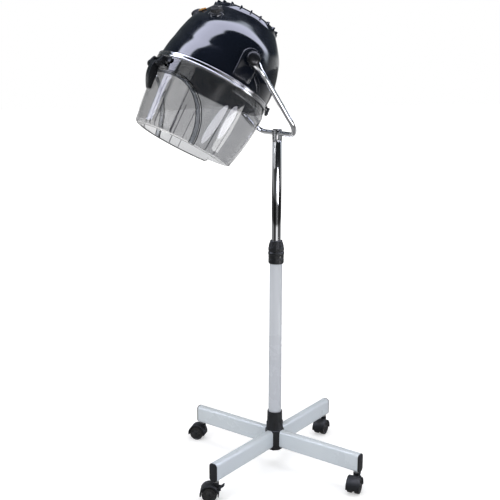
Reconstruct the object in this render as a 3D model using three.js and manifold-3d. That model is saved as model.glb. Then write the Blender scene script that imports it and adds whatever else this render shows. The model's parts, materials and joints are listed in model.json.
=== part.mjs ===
// Hood hair dryer on a wheeled stand: a tilting hood with a lifting visor flap, carried by a chrome
// yoke on a height-adjustable pole with a four-leg base and twin-wheel casters.
// Millimetres, +Z up, z = 0 on the floor, front of the hood towards -Y.
import * as THREE from 'three';
import { mergeVertices } from 'three/addons/utils/BufferGeometryUtils.js';
import Module from 'manifold-3d';

const wasm = await Module();
wasm.setup();

// ---------------------------------------------------------------- driving dimensions
const SEAT_GAP = 0.3; // between pieces that touch or slide on each other
const SMALL_SIDES = 10; // facets of pins, bolts and knobs
const TUBE_SIDES = 16; // facets of poles and collars
const HOOD_SIDES = 32; // facets of the hood's round shells

const POLE_BACK = 62; // pole axis behind the middle of the floor plan

const POLE_DIAMETER = 34.9;
const POLE_WALL = 1.5;
const POLE_FOOT_Z = 64;
const POLE_TOP_Z = 608;
const MAST_DIAMETER = 25.4;
const MAST_WALL = 1.5;
const MAST_FOOT_Z = 400;
const MAST_TOP_Z = 899.5;

const HUB_BOTTOM_Z = 47;
const HUB_TOP_Z = 157;
const HUB_TOP_RADIUS = 20.6;
const HUB_SKIRT_RADIUS = 23.5;
const HUB_SKIRT_Z = 110;
const HUB_HALF_WIDTH = 24; // from the pole axis to the face a leg butts on
const SPIGOT_LENGTH = 36;
const HUB_BOLT_DIAMETER = 8;
const HUB_BOLT_HEAD_DIAMETER = 13;
const HUB_BOLT_HEAD_HEIGHT = 5.5;
const PLUG_HEIGHT = 20;

const LEG_REACH = 274; // pole axis to the outer face of an end cap
const LEG_WIDTH = 24;
const LEG_HEIGHT = 50;
const LEG_BOTTOM_Z = 54;
const LEG_CORNER = 9;
const LEG_WALL = 1.5;
const CAP_PLATE = 3;
const CAP_INSERT = 23;
const FIRST_LEG_TURN = 28.3; // degrees from +X to the right leg

const CASTER_INSET = 12; // caster stem in from a leg's outer face
const CASTER_REACH = LEG_REACH - CASTER_INSET;
const WHEEL_RADIUS = 20;
const WHEEL_WIDTH = 13;
const WHEEL_SIDES = 16;
const CASTER_TRAIL = 16;
const CASTER_WEB = 6;
const FENDER_GAP = 1.6;
const FENDER_WALL = 3.2;
const FENDER_WIDTH = 36;
const AXLE_DIAMETER = 6;
const STEM_DIAMETER = 8;
const STEM_FLANGE_DIAMETER = 15;
const STEM_DEPTH = 38; // how far the stem reaches into the end cap
const CASTER_NECK_DIAMETER = 16;
const CASTER_NECK_TOP_Z = 50;
const LEVER_WIDTH = 14;
const LEVER_THICKNESS = 3;
const LEVER_LENGTH = 15;
const LEVER_RISE = 40; // degrees above level
const LEVER_BARREL_DIAMETER = 5;

const COLLAR_BOTTOM_Z = 576.5;
const COLLAR_SPLIT_Z = 610.6;
const COLLAR_TOP_Z = 639.5;
const COLLAR_RADIUS = 21;
const COLLAR_BEAD = 1;
const COLLAR_BEAD_Z = 606;
const COLLAR_BEAD_HEIGHT = 2.5;
const COLLAR_CONE_Z = 620; // where the nut starts to narrow
const COLLAR_TOP_RADIUS = 15.3;
const COLLAR_NECK_RADIUS = 16.8;
const COLLAR_NECK_HEIGHT = 11.4; // threaded neck above the split
const COLLAR_NECK_TOP_Z = COLLAR_SPLIT_Z + COLLAR_NECK_HEIGHT;
const COLLET_WALL = 1.9;
const COLLET_DROP = 9.5; // how far the nut's lip stands over the collet
const COLLET_TOP_Z = COLLAR_TOP_Z - COLLET_DROP;
const COLLET_SLIT = 2;
const GUIDE_LENGTH = 38;
const GUIDE_FLOOR = 8;

const FORK_TOP_Z = 932.5;
const FORK_SLOT_DEPTH = 28;
const FORK_SPIGOT = 30;
const YOKE_DIAMETER = 12.7;
const YOKE_BAR_Z = 922;
const YOKE_HALF_WIDTH = 154;
const YOKE_CORNER = 62;
const YOKE_STEPS = 38;
const EYE_THICKNESS = 7;
const EYE_RADIUS = 10.5;
const EYE_NECK = 24;
const EYE_NECK_WIDTH = 10.7;
const EYE_OVERLAP = 6; // how far the rod runs into the flattened eye
const FORK_PIN_DIAMETER = 5;

const PIVOT_FRONT = 144; // tilt axis in front of the pole
const PIVOT_Z = 1104.8;
const HOOD_TILT = 29.1; // degrees the hood leans back from upright
const HOOD_AXIS_FRONT = 4.5; // hood's round axis in front of the tilt axis
const BOLT_DIAMETER = 8;
const BOLT_HEAD_DIAMETER = 14;
const BOLT_HEAD = 5;
const BOSS_FACE_X = 147;
const BOSS_ROOT_X = 128;
const BOSS_RADIUS = 24;
const BOSS_DROP = 52;
const PAD_RADIUS = 13;
const KNOB_RADIUS = 17.5;
const KNOB_HEIGHT = 14.5;

const SHELL_WALL = 3;
const VISOR_WALL = 2.5;
const SKIRT_BOTTOM_Z = -84; // hood heights are measured from the tilt axis along the hood
const RIM_Z = -61;
const RIM_RADIUS = 143.5;
const CROWN_Z = 98;
const CROWN_RADIUS = 90;
const CROWN_HOLE_RADIUS = 78;
// The dome's wall between rim and crown: shares of the rim's radius and of the crown's height.
const DOME_SHAPE = [[0.991, -0.306], [0.955, 0], [0.913, 0.255], [0.854, 0.51], [0.746, 0.765]];
const DOME_LEAN_HEIGHT = 50; // over which the dome moves forward onto its own axis
const RING_HEIGHT = 13;
const RING_OVERHANG = 6.5; // how far the trim ring stands out past the rim
const RING_RADIUS = RIM_RADIUS + RING_OVERHANG;
const RING_GROOVE = 2;
const CAP_RIM_Z = 113;
const CAP_RIM_RADIUS = 84;
const CAP_TOP_Z = 122;
const CAP_RIBS = 20;
const CAP_RIB_WIDTH = 4;
const CAP_SLOT_LENGTH = 22;
const CAP_SLOT_RADIUS = 60; // from the cap's middle to the middle of a slot
const CAP_SLOT_DEPTH = 20;
const CAP_RIB_RISE = 3;

const VISOR_BOTTOM_Z = -236.5;
const VISOR_BOTTOM_RADIUS = 128.5;
const VISOR_CORNER = 8;
const VISOR_LIP = 5;
const ARCH_TOP_Z = -109;
const ARCH_FLAT = 30; // degrees each side of the front before the arch turns down
const ARCH_SPREAD = 80.5; // degrees each side of the front at the foot of the arch
const ARCH_SQUARENESS = 2.3;
const FLAP_GAP = 1;
const HINGE_Y = -150.5;
const HINGE_Z = -97;
const HINGE_PIN_DIAMETER = 4;
const KNUCKLE_RADIUS = 7.5;
const KNUCKLE_HALF_WIDTH = 24.3;
const LUG_RADIUS = 9;
const LUG_WIDTH = 14;
const HANDLE_HALF_WIDTH = 14;
const HANDLE_BULGE = 18;
const HANDLE_TIP_Z = -157;
const BRACKET_SPREAD = 22;
const BRACKET_HEIGHT = 11;
const BRACKET_TOP_Z = -77;
const BRACKET_THICKNESS = 4;

const DIAL_TURN = 32; // degrees each side of the front
const DIAL_LEAN = 50; // degrees the dial axis leans out from the hood axis
const DIAL_Z = 68;
const DIAL_DISTANCE = 110;
const DIAL_RADIUS = 16;
const DIAL_HEIGHT = 12.8;
const DIAL_SHAFT_DIAMETER = 6;
const DIAL_SHAFT_LENGTH = 12;
const DIAL_BOSS_RADIUS = 17.5;
const DIAL_BOSS_RISE = 3.2;
const DIAL_BOSS_DEPTH = 6;
const SWITCH_RADIUS = 14;
const SWITCH_LENGTH = 19;
const LAMP_WIDTH = 22;
const LAMP_LENGTH = 12;
const LAMP_HEIGHT = 9;
const LAMP_Z = 72;
const GLAND_RADIUS = 9;
const GLAND_BORE_RADIUS = 4;
const GLAND_Z = 45;
const GLAND_PROUD = 6;
const GLAND_ROOT = 8; // how far it reaches inwards through the wall

const BOWL_WALL = 2.5;
const BOWL_TOP_Z = 44;
const BOWL_FLAT_RADIUS = 68;
const BOWL_SHOULDER_RADIUS = 97;
const BOWL_SHOULDER_Z = 32;
const BOWL_BELLY_RADIUS = 115;
const BOWL_BELLY_Z = 9;
const BOWL_WAIST_RADIUS = 122;
const BOWL_WAIST_Z = -25;
const BOWL_RIM_RADIUS = 126;
const BOWL_HOLE_RADIUS = 4;
const BOWL_HOLES_PER_RING = 6;
const HEATER_RADIUS = 56;
const HEATER_BAND = 3;
const HEATER_HEIGHT = 11;
const FAN_RADIUS = 56;
const FAN_HUB_RADIUS = 12;
const FAN_BLADES = 7;
const FAN_BOTTOM_Z = 61;
const FAN_HEIGHT = 14;
const FAN_SHAFT_DIAMETER = 6;
const MOTOR_RADIUS = 31;
const MOTOR_FLANGE_RADIUS = 38;
const MOTOR_BOTTOM_Z = 81;
const MOTOR_TOP_Z = 112;
const BRACE_THICKNESS = 3;
const BRACE_ARMS = 3;

// ---------------------------------------------------------------- materials
const finish = (color, roughness, metalness = 0) => () =>
  new THREE.MeshStandardMaterial({ color, roughness, metalness });
const whitePaint = finish(0xdfe3ea, 0.35);
const chrome = finish(0xd8dadd, 0.08, 1);
const steel = finish(0xa9abad, 0.35, 1);
const blackPlastic = finish(0x17181a, 0.5);
const glossBlack = finish(0x10151c, 0.12);
const rubberBlack = finish(0x141414, 0.75);
const amber = finish(0xd98a1e, 0.2);
const mica = finish(0xb9ac8a, 0.7);
const smoked = () =>
  new THREE.MeshStandardMaterial({ color: 0x8d9092, roughness: 0.08, transparent: true, opacity: 0.4 });

// ---------------------------------------------------------------- geometry tools
const degrees = THREE.MathUtils.degToRad;

function solidOf(geometry) {
  const bare = geometry.clone();
  bare.deleteAttribute('normal');
  bare.deleteAttribute('uv');
  const merged = mergeVertices(bare, 1e-4);
  const corners = merged.index.array;
  const triVerts = [];
  for (let i = 0; i < corners.length; i += 3) {
    const [a, b, c] = corners.slice(i, i + 3);
    if (a !== b && b !== c && c !== a) {
      triVerts.push(a, b, c);
    }
  }
  const vertProperties = new Float32Array(merged.attributes.position.array);
  const mesh = new wasm.Mesh({ numProp: 3, vertProperties, triVerts: new Uint32Array(triVerts) });
  return new wasm.Manifold(mesh);
}

function geometryOf(solid) {
  const mesh = solid.getMesh();
  const geometry = new THREE.BufferGeometry();
  geometry.setAttribute('position', new THREE.BufferAttribute(mesh.vertProperties, 3));
  geometry.setIndex(new THREE.BufferAttribute(mesh.triVerts, 1));
  geometry.computeVertexNormals();
  return geometry;
}

const joined = (...geometries) => geometryOf(geometries.map(solidOf).reduce((a, b) => a.add(b)));
const cut = (body, ...tools) => {
  return geometryOf(tools.map(solidOf).reduce((a, b) => a.subtract(b), solidOf(body)));
};
const common = (a, b) => geometryOf(solidOf(a).intersect(solidOf(b)));

// A round solid about Z from [radius, z] points, listed so that the outside runs upwards.
function turnedSolid(profile, sides = TUBE_SIDES) {
  const points = profile.map(([radius, z]) => new THREE.Vector2(radius, z));
  return new THREE.LatheGeometry(points, sides).rotateX(Math.PI / 2);
}

function disc(radius, bottom, top, sides = TUBE_SIDES) {
  return turnedSolid([[0, bottom], [radius, bottom], [radius, top], [0, top]], sides);
}

function tube(outer, inner, bottom, top, sides = TUBE_SIDES) {
  const foot = [inner, bottom];
  return turnedSolid([foot, [outer, bottom], [outer, top], [inner, top], foot], sides);
}

// A round pin along X from one x to another, centred on y and z.
function pinAlongX(radius, fromX, toX, y, z, sides = SMALL_SIDES) {
  return disc(radius, fromX, toX, sides).rotateY(Math.PI / 2).translate(0, y, z);
}

function roundedBox(width, height, corner) {
  const shape = new THREE.Shape();
  const x = width / 2;
  const y = height / 2;
  shape.moveTo(-x + corner, -y);
  shape.lineTo(x - corner, -y);
  shape.absarc(x - corner, -y + corner, corner, -Math.PI / 2, 0);
  shape.lineTo(x, y - corner);
  shape.absarc(x - corner, y - corner, corner, 0, Math.PI / 2);
  shape.lineTo(-x + corner, y);
  shape.absarc(-x + corner, y - corner, corner, Math.PI / 2, Math.PI);
  shape.lineTo(-x, -y + corner);
  shape.absarc(-x + corner, -y + corner, corner, Math.PI, Math.PI * 1.5);
  return shape;
}

function extruded(shape, depth, curveSegments = 2) {
  return new THREE.ExtrudeGeometry(shape, { depth, curveSegments, bevelEnabled: false });
}

// A shape drawn in the YZ plane, thickened along X.
function slabAcrossX(shape, fromX, toX, curveSegments = 8) {
  const slab = extruded(shape, toX - fromX, curveSegments);
  return slab.rotateY(Math.PI / 2).rotateX(Math.PI / 2).translate(fromX, 0, 0);
}

// A wall swept about Z: each section is a loop of [radius, z] points, the outside running upwards.
function sweptWall(angles, sectionAt) {
  const positions = [];
  const index = [];
  const loops = angles.map(sectionAt);
  const count = loops[0].length;
  loops.forEach((loop, i) => {
    const turn = degrees(angles[i]);
    loop.forEach(([radius, z]) => positions.push(radius * Math.sin(turn), -radius * Math.cos(turn), z));
  });
  for (let i = 0; i < angles.length - 1; i += 1) {
    for (let j = 0; j < count; j += 1) {
      const a = i * count + j;
      const d = i * count + ((j + 1) % count);
      index.push(a, a + count, d, d + count, d, a + count);
    }
  }
  const last = (angles.length - 1) * count;
  for (let k = 1; k < count - 1; k += 1) {
    index.push(0, k, k + 1, last, last + k + 1, last + k);
  }
  const geometry = new THREE.BufferGeometry();
  geometry.setAttribute('position', new THREE.Float32BufferAttribute(positions, 3));
  geometry.setIndex(index);
  return geometry;
}

function addPiece(parent, name, geometry, material) {
  const mesh = new THREE.Mesh(geometry, material());
  mesh.name = name;
  parent.add(mesh);
  return mesh;
}

function addGroup(parent, x = 0, y = 0, z = 0) {
  const group = new THREE.Group();
  group.position.set(x, y, z);
  parent.add(group);
  return group;
}

// ---------------------------------------------------------------- base: hub, legs and pole
const POLE_RADIUS = POLE_DIAMETER / 2;
const POLE_BORE = POLE_RADIUS - POLE_WALL;
const MAST_RADIUS = MAST_DIAMETER / 2;
const MAST_BORE = MAST_RADIUS - MAST_WALL;
const LEG_MIDDLE_Z = LEG_BOTTOM_Z + LEG_HEIGHT / 2;
const HEAD_SEAT_Z = HUB_BOTTOM_Z + HUB_BOLT_HEAD_HEIGHT + SEAT_GAP;

// A block that slides into a leg, with its length along +X from the given reach.
function legInsert(reach, length) {
  const width = LEG_WIDTH - 2 * LEG_WALL - 2 * SEAT_GAP;
  const height = LEG_HEIGHT - 2 * LEG_WALL - 2 * SEAT_GAP;
  const block = extruded(roundedBox(height, width, LEG_CORNER - LEG_WALL), length);
  return block.rotateY(Math.PI / 2).translate(reach, 0, LEG_MIDDLE_Z);
}

function hubGeometry() {
  const turned = turnedSolid([
    [0, HUB_SKIRT_Z - 14],
    [HUB_SKIRT_RADIUS, HUB_SKIRT_Z - 14],
    [HUB_SKIRT_RADIUS, HUB_SKIRT_Z],
    [HUB_TOP_RADIUS + 0.6, HUB_SKIRT_Z + 16],
    [HUB_TOP_RADIUS, HUB_TOP_Z],
    [0, HUB_TOP_Z],
  ]);
  const half = HUB_HALF_WIDTH;
  const flat = LEG_WIDTH / 2;
  const corners = [[half, flat], [flat, half], [-flat, half], [-half, flat]];
  const outline = corners.concat(corners.map(([x, y]) => [-x, -y]));
  const column = new THREE.Shape(outline.map(([x, y]) => new THREE.Vector2(x, y)));
  const core = extruded(column, LEG_BOTTOM_Z + LEG_HEIGHT - HUB_BOTTOM_Z).translate(0, 0, HUB_BOTTOM_Z);
  const spigots = [0, 1, 2, 3].map((i) => {
    return legInsert(half - 1, SPIGOT_LENGTH + 1).rotateZ((i * Math.PI) / 2);
  });
  const socket = disc(POLE_RADIUS + SEAT_GAP, POLE_FOOT_Z - SEAT_GAP, HUB_TOP_Z + 1);
  const boltHole = disc(HUB_BOLT_DIAMETER / 2 + SEAT_GAP, HUB_BOTTOM_Z - 1, POLE_FOOT_Z, SMALL_SIDES);
  const headHole = disc(HUB_BOLT_HEAD_DIAMETER / 2 + 1, HUB_BOTTOM_Z - 1, HEAD_SEAT_Z, SMALL_SIDES);
  return cut(joined(turned, core, ...spigots), socket, boltHole, headHole);
}

function hubBoltGeometry() {
  const shank = HUB_BOLT_DIAMETER / 2;
  const head = HUB_BOLT_HEAD_DIAMETER / 2;
  const seat = HUB_BOTTOM_Z + HUB_BOLT_HEAD_HEIGHT;
  const end = POLE_FOOT_Z + PLUG_HEIGHT - 2;
  const bottom = HUB_BOTTOM_Z + 0.5;
  const profile = [[0, bottom], [head, bottom], [head, seat], [shank, seat], [shank, end], [0, end]];
  return turnedSolid(profile, SMALL_SIDES);
}

function legGeometry() {
  const outline = roundedBox(LEG_HEIGHT, LEG_WIDTH, LEG_CORNER);
  const bore = roundedBox(LEG_HEIGHT - 2 * LEG_WALL, LEG_WIDTH - 2 * LEG_WALL, LEG_CORNER - LEG_WALL);
  outline.holes.push(bore);
  const start = HUB_HALF_WIDTH + SEAT_GAP;
  const bar = extruded(outline, LEG_REACH - CAP_PLATE - SEAT_GAP - start);
  bar.rotateY(Math.PI / 2).translate(start, 0, LEG_MIDDLE_Z);
  const holeRadius = STEM_DIAMETER / 2 + 2 * SEAT_GAP;
  const stemHole = disc(holeRadius, LEG_BOTTOM_Z - 1, LEG_BOTTOM_Z + LEG_WALL + 1, SMALL_SIDES);
  return cut(bar, stemHole.translate(CASTER_REACH, 0, 0));
}

function legCapGeometry() {
  const plate = extruded(roundedBox(LEG_HEIGHT, LEG_WIDTH, LEG_CORNER), CAP_PLATE);
  plate.rotateY(Math.PI / 2).translate(LEG_REACH - CAP_PLATE, 0, LEG_MIDDLE_Z);
  const insert = legInsert(LEG_REACH - CAP_PLATE - CAP_INSERT, CAP_INSERT + 1);
  const socketTop = LEG_BOTTOM_Z + STEM_DEPTH + SEAT_GAP;
  const socket = disc(STEM_DIAMETER / 2 + SEAT_GAP, LEG_BOTTOM_Z, socketTop, SMALL_SIDES);
  return cut(joined(plate, insert), socket.translate(CASTER_REACH, 0, 0));
}

// ---------------------------------------------------------------- casters
// A caster is drawn with its stem on Z and its axle trailing towards +X.
const FENDER_BORE = WHEEL_RADIUS + FENDER_GAP;
const FENDER_RADIUS = FENDER_BORE + FENDER_WALL;
const CASTER_STEM_FOOT_Z = WHEEL_RADIUS + FENDER_BORE - 2;
const LEVER_PIVOT = new THREE.Vector3(CASTER_TRAIL - FENDER_RADIUS - 2.2, 0, WHEEL_RADIUS + 14);

function casterHousingGeometry(withLever) {
  const hood = new THREE.Shape();
  hood.absarc(0, 0, FENDER_RADIUS, -Math.PI * 0.06, Math.PI * 1.06);
  hood.absarc(0, 0, FENDER_BORE, Math.PI * 1.06, -Math.PI * 0.06, true);
  const fender = extruded(hood, FENDER_WIDTH, 7).translate(0, 0, -FENDER_WIDTH / 2);
  const plate = new THREE.Shape();
  plate.absarc(0, 0, FENDER_RADIUS - 1, 0, Math.PI);
  plate.absarc(0, 0, AXLE_DIAMETER, Math.PI, Math.PI * 2);
  const web = extruded(plate, CASTER_WEB, 5).translate(0, 0, -CASTER_WEB / 2);
  const axle = disc(AXLE_DIAMETER / 2, -FENDER_WIDTH / 2 + 1, FENDER_WIDTH / 2 - 1, SMALL_SIDES);
  const body = joined(fender, web, axle).rotateX(Math.PI / 2).translate(CASTER_TRAIL, 0, WHEEL_RADIUS);
  const front = [disc(CASTER_NECK_DIAMETER / 2, WHEEL_RADIUS + 8, CASTER_NECK_TOP_Z, SMALL_SIDES)];
  if (withLever) {
    [-1, 1].forEach((side) => front.push(leverEar(side)));
  }
  const wheelSpace = disc(FENDER_BORE, -FENDER_WIDTH, FENDER_WIDTH).rotateX(Math.PI / 2);
  const neck = cut(joined(...front), wheelSpace.translate(CASTER_TRAIL, 0, WHEEL_RADIUS));
  const boreFoot = CASTER_STEM_FOOT_Z - SEAT_GAP;
  const bore = disc(STEM_DIAMETER / 2 + SEAT_GAP, boreFoot, CASTER_NECK_TOP_Z + 1, SMALL_SIDES);
  return cut(joined(body, neck), bore);
}

// One of the two ears on the neck between which the brake lever's barrel turns.
function leverEar(side) {
  const ear = new THREE.BoxGeometry(14, 3, 7);
  const sideY = side * (LEVER_WIDTH / 2 + SEAT_GAP + 1.5);
  return ear.translate(LEVER_PIVOT.x + 5, sideY, LEVER_PIVOT.z - 1);
}

// The pedal points away from the wheels.
function brakeLeverGeometry() {
  const half = LEVER_WIDTH / 2;
  const barrel = disc(LEVER_BARREL_DIAMETER / 2, -half, half, SMALL_SIDES).rotateX(Math.PI / 2);
  const pedal = new THREE.BoxGeometry(LEVER_LENGTH, LEVER_WIDTH, LEVER_THICKNESS);
  pedal.translate(-LEVER_LENGTH / 2, 0, 0).rotateY(degrees(LEVER_RISE));
  return joined(barrel, pedal);
}

function wheelGeometry() {
  const vertex = WHEEL_RADIUS / Math.cos(Math.PI / WHEEL_SIDES);
  const bore = AXLE_DIAMETER / 2 + SEAT_GAP;
  const half = WHEEL_WIDTH / 2;
  const profile = [
    [bore, -half],
    [vertex - 1, -half],
    [vertex, -half + 1],
    [vertex, half - 1],
    [vertex - 1, half],
    [bore, half],
    [bore, -half],
  ];
  const wheel = turnedSolid(profile, WHEEL_SIDES).rotateZ(Math.PI / WHEEL_SIDES);
  return wheel.rotateX(Math.PI / 2);
}

function stemGeometry() {
  const shank = STEM_DIAMETER / 2;
  const flange = STEM_FLANGE_DIAMETER / 2;
  const foot = CASTER_STEM_FOOT_Z;
  const low = CASTER_NECK_TOP_Z + SEAT_GAP;
  const high = LEG_BOTTOM_Z - SEAT_GAP;
  const top = LEG_BOTTOM_Z + STEM_DEPTH;
  const lower = [[0, foot], [shank, foot], [shank, low], [flange, low]];
  const upper = [[flange, high], [shank, high], [shank, top], [0, top]];
  return turnedSolid([...lower, ...upper], SMALL_SIDES);
}

function addCaster(parent, name, heading, withLever) {
  const caster = addGroup(parent, CASTER_REACH, 0, 0);
  caster.rotation.z = degrees(heading);
  addPiece(caster, `caster_housing_${name}`, casterHousingGeometry(withLever), blackPlastic);
  addPiece(caster, `caster_stem_${name}`, stemGeometry(), steel);
  const sideY = CASTER_WEB / 2 + 0.5 + WHEEL_WIDTH / 2;
  ['a', 'b'].forEach((letter, i) => {
    const wheel = addPiece(caster, `caster_wheel_${name}_${letter}`, wheelGeometry(), rubberBlack);
    wheel.position.set(CASTER_TRAIL, i === 0 ? -sideY : sideY, WHEEL_RADIUS);
    wheel.rotation.z = i === 0 ? 0 : Math.PI;
  });
  if (withLever) {
    const lever = addPiece(caster, `brake_lever_${name}`, brakeLeverGeometry(), blackPlastic);
    lever.position.copy(LEVER_PIVOT);
  }
}

// ---------------------------------------------------------------- collar and mast
function collarBodyGeometry() {
  const bore = POLE_RADIUS + SEAT_GAP;
  const neckBore = MAST_RADIUS + COLLET_WALL + 2 * SEAT_GAP;
  const stop = POLE_TOP_Z + SEAT_GAP;
  const profile = [
    [bore, COLLAR_BOTTOM_Z],
    [COLLAR_RADIUS, COLLAR_BOTTOM_Z + 4],
    [COLLAR_RADIUS, COLLAR_BEAD_Z - 2 * COLLAR_BEAD_HEIGHT],
    [COLLAR_RADIUS + COLLAR_BEAD, COLLAR_BEAD_Z - COLLAR_BEAD_HEIGHT],
    [COLLAR_RADIUS + COLLAR_BEAD, COLLAR_BEAD_Z],
    [COLLAR_RADIUS - 0.5, COLLAR_SPLIT_Z],
    [COLLAR_NECK_RADIUS, COLLAR_SPLIT_Z],
    [COLLAR_NECK_RADIUS, COLLAR_NECK_TOP_Z],
    [neckBore, COLLAR_NECK_TOP_Z],
    [neckBore, stop],
    [bore, stop],
    [bore, COLLAR_BOTTOM_Z],
  ];
  return turnedSolid(profile);
}

function collarNutGeometry() {
  const thread = COLLAR_NECK_RADIUS + SEAT_GAP;
  const bottom = COLLAR_SPLIT_Z + SEAT_GAP;
  const colletSide = MAST_RADIUS + SEAT_GAP + COLLET_WALL + SEAT_GAP;
  const lip = MAST_RADIUS + SEAT_GAP;
  const profile = [
    [thread, bottom],
    [COLLAR_RADIUS - 0.2, bottom],
    [COLLAR_RADIUS, COLLAR_CONE_Z],
    [COLLAR_TOP_RADIUS, COLLAR_TOP_Z],
    [lip, COLLAR_TOP_Z],
    [lip, COLLET_TOP_Z + SEAT_GAP],
    [colletSide, COLLET_TOP_Z + SEAT_GAP],
    [colletSide, COLLAR_NECK_TOP_Z + SEAT_GAP],
    [thread, COLLAR_NECK_TOP_Z + SEAT_GAP],
    [thread, bottom],
  ];
  return turnedSolid(profile);
}

// The split sleeve that the nut squeezes onto the mast.
function colletGeometry() {
  const inner = MAST_RADIUS + SEAT_GAP;
  const sleeve = tube(inner + COLLET_WALL, inner, POLE_TOP_Z + 2 * SEAT_GAP, COLLET_TOP_Z);
  const length = 2 * (COLLET_TOP_Z - POLE_TOP_Z) + 4 * COLLET_WALL;
  const slit = new THREE.BoxGeometry(4 * COLLET_WALL, COLLET_SLIT, length);
  slit.translate(inner, 0, COLLET_TOP_Z);
  return cut(sleeve, slit);
}

// The bush at the foot of the mast that slides inside the pole.
function mastGuideGeometry() {
  const outer = POLE_BORE - SEAT_GAP;
  const inner = MAST_RADIUS + SEAT_GAP;
  const floor = MAST_FOOT_Z - SEAT_GAP;
  const bottom = floor - GUIDE_FLOOR;
  const top = bottom + GUIDE_LENGTH;
  const drain = MAST_BORE - 3;
  const outside = [[drain, bottom], [outer, bottom], [outer, top]];
  const inside = [[inner, top], [inner, floor], [drain, floor], [drain, bottom]];
  return turnedSolid([...outside, ...inside]);
}

function yokeForkGeometry() {
  const spigot = MAST_BORE - SEAT_GAP;
  const seat = MAST_TOP_Z + SEAT_GAP;
  const foot = seat - FORK_SPIGOT;
  const body = turnedSolid([
    [0, foot],
    [spigot, foot],
    [spigot, seat],
    [MAST_RADIUS, seat],
    [MAST_RADIUS, FORK_TOP_Z - 1],
    [MAST_RADIUS - 1, FORK_TOP_Z],
    [0, FORK_TOP_Z],
  ]);
  const slotWidth = YOKE_DIAMETER + 2 * SEAT_GAP;
  const slot = new THREE.BoxGeometry(2 * MAST_DIAMETER, slotWidth, 2 * FORK_SLOT_DEPTH);
  slot.translate(0, 0, FORK_TOP_Z);
  const pinHole = disc(FORK_PIN_DIAMETER / 2 + SEAT_GAP, -MAST_DIAMETER, MAST_DIAMETER, SMALL_SIDES);
  return cut(body, slot, pinHole.rotateX(Math.PI / 2).translate(0, 0, YOKE_BAR_Z));
}

// The yoke's centre line in its own plane: down an arm, round a corner, along the bar and up again.
class YokeCurve extends THREE.Curve {
  constructor(armStart, armEnd) {
    super();
    this.straight = armEnd - armStart - YOKE_CORNER;
    this.bend = (Math.PI / 2) * YOKE_CORNER;
    this.bar = YOKE_HALF_WIDTH - YOKE_CORNER;
    this.armStart = armStart;
    this.total = this.straight + this.bend + this.bar;
  }

  getPoint(t, target = new THREE.Vector3()) {
    const along = Math.abs(t * 2 - 1);
    const side = t < 0.5 ? 1 : -1;
    const travel = (1 - along) * this.total;
    const bottom = this.armStart + this.straight;
    if (travel < this.straight) {
      return target.set(side * YOKE_HALF_WIDTH, this.armStart + travel, 0);
    }
    if (travel < this.straight + this.bend) {
      const turn = (travel - this.straight) / YOKE_CORNER;
      const x = this.bar + YOKE_CORNER * Math.cos(turn);
      return target.set(side * x, bottom + YOKE_CORNER * Math.sin(turn), 0);
    }
    const x = this.bar - (travel - this.straight - this.bend);
    return target.set(side * x, bottom + YOKE_CORNER, 0);
  }
}

function yokeGeometry() {
  const drop = PIVOT_Z - YOKE_BAR_Z;
  const armLength = Math.hypot(PIVOT_FRONT, drop);
  const lean = Math.atan2(PIVOT_FRONT, drop);
  const ring = new THREE.Shape().absarc(0, 0, YOKE_DIAMETER / 2, 0, Math.PI * 2);
  const path = new YokeCurve(EYE_NECK - EYE_OVERLAP, armLength);
  const rod = new THREE.ExtrudeGeometry(ring, { steps: YOKE_STEPS, curveSegments: 5, extrudePath: path });
  const tongue = new THREE.Shape();
  tongue.absarc(0, 0, EYE_RADIUS, degrees(160), degrees(380));
  tongue.lineTo(EYE_NECK_WIDTH / 2, EYE_NECK);
  tongue.lineTo(-EYE_NECK_WIDTH / 2, EYE_NECK);
  const eyes = [-1, 1].map((side) => {
    const plate = extruded(tongue, EYE_THICKNESS, 10).translate(0, 0, -EYE_THICKNESS / 2);
    return plate.rotateY(Math.PI / 2).translate(side * YOKE_HALF_WIDTH, 0, 0);
  });
  const boltHoles = [-1, 1].map((side) => {
    const hole = pinAlongX(BOLT_DIAMETER / 2 + SEAT_GAP, -EYE_THICKNESS, EYE_THICKNESS, 0, 0);
    return hole.translate(side * YOKE_HALF_WIDTH, 0, 0);
  });
  const flat = cut(joined(rod, ...eyes), ...boltHoles);
  flat.rotateX(-Math.PI / 2).rotateX(lean).translate(0, -PIVOT_FRONT, PIVOT_Z);
  const pinHole = disc(FORK_PIN_DIAMETER / 2 + SEAT_GAP, -MAST_DIAMETER, MAST_DIAMETER, SMALL_SIDES);
  return cut(flat, pinHole.rotateX(Math.PI / 2).translate(0, 0, YOKE_BAR_Z));
}

// ---------------------------------------------------------------- hood shells
// Hood pieces are drawn about the hood's round axis, with z = 0 level with the tilt axis.
const VISOR_TOP_Z = RIM_Z - SEAT_GAP;
const VISOR_TOP_RADIUS = RIM_RADIUS + 0.5;
const VISOR_SHOULDER_Z = RIM_Z - RING_HEIGHT;
const VISOR_CORNER_Z = VISOR_BOTTOM_Z + VISOR_CORNER;

function visorRadiusAt(z) {
  const share = (VISOR_SHOULDER_Z - z) / (VISOR_SHOULDER_Z - VISOR_CORNER_Z);
  return VISOR_TOP_RADIUS + Math.max(share, 0) * (VISOR_BOTTOM_RADIUS - VISOR_TOP_RADIUS);
}

// The casing's skirt runs down inside the top of the visor.
const SKIRT_RADIUS = visorRadiusAt(SKIRT_BOTTOM_Z) - VISOR_WALL - SEAT_GAP;

function leanBack(geometry) {
  const position = geometry.attributes.position;
  for (let i = 0; i < position.count; i += 1) {
    const share = THREE.MathUtils.clamp((position.getZ(i) - RIM_Z) / DOME_LEAN_HEIGHT, 0, 1);
    position.setY(i, position.getY(i) + HOOD_AXIS_FRONT * share);
  }
  return geometry;
}

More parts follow.
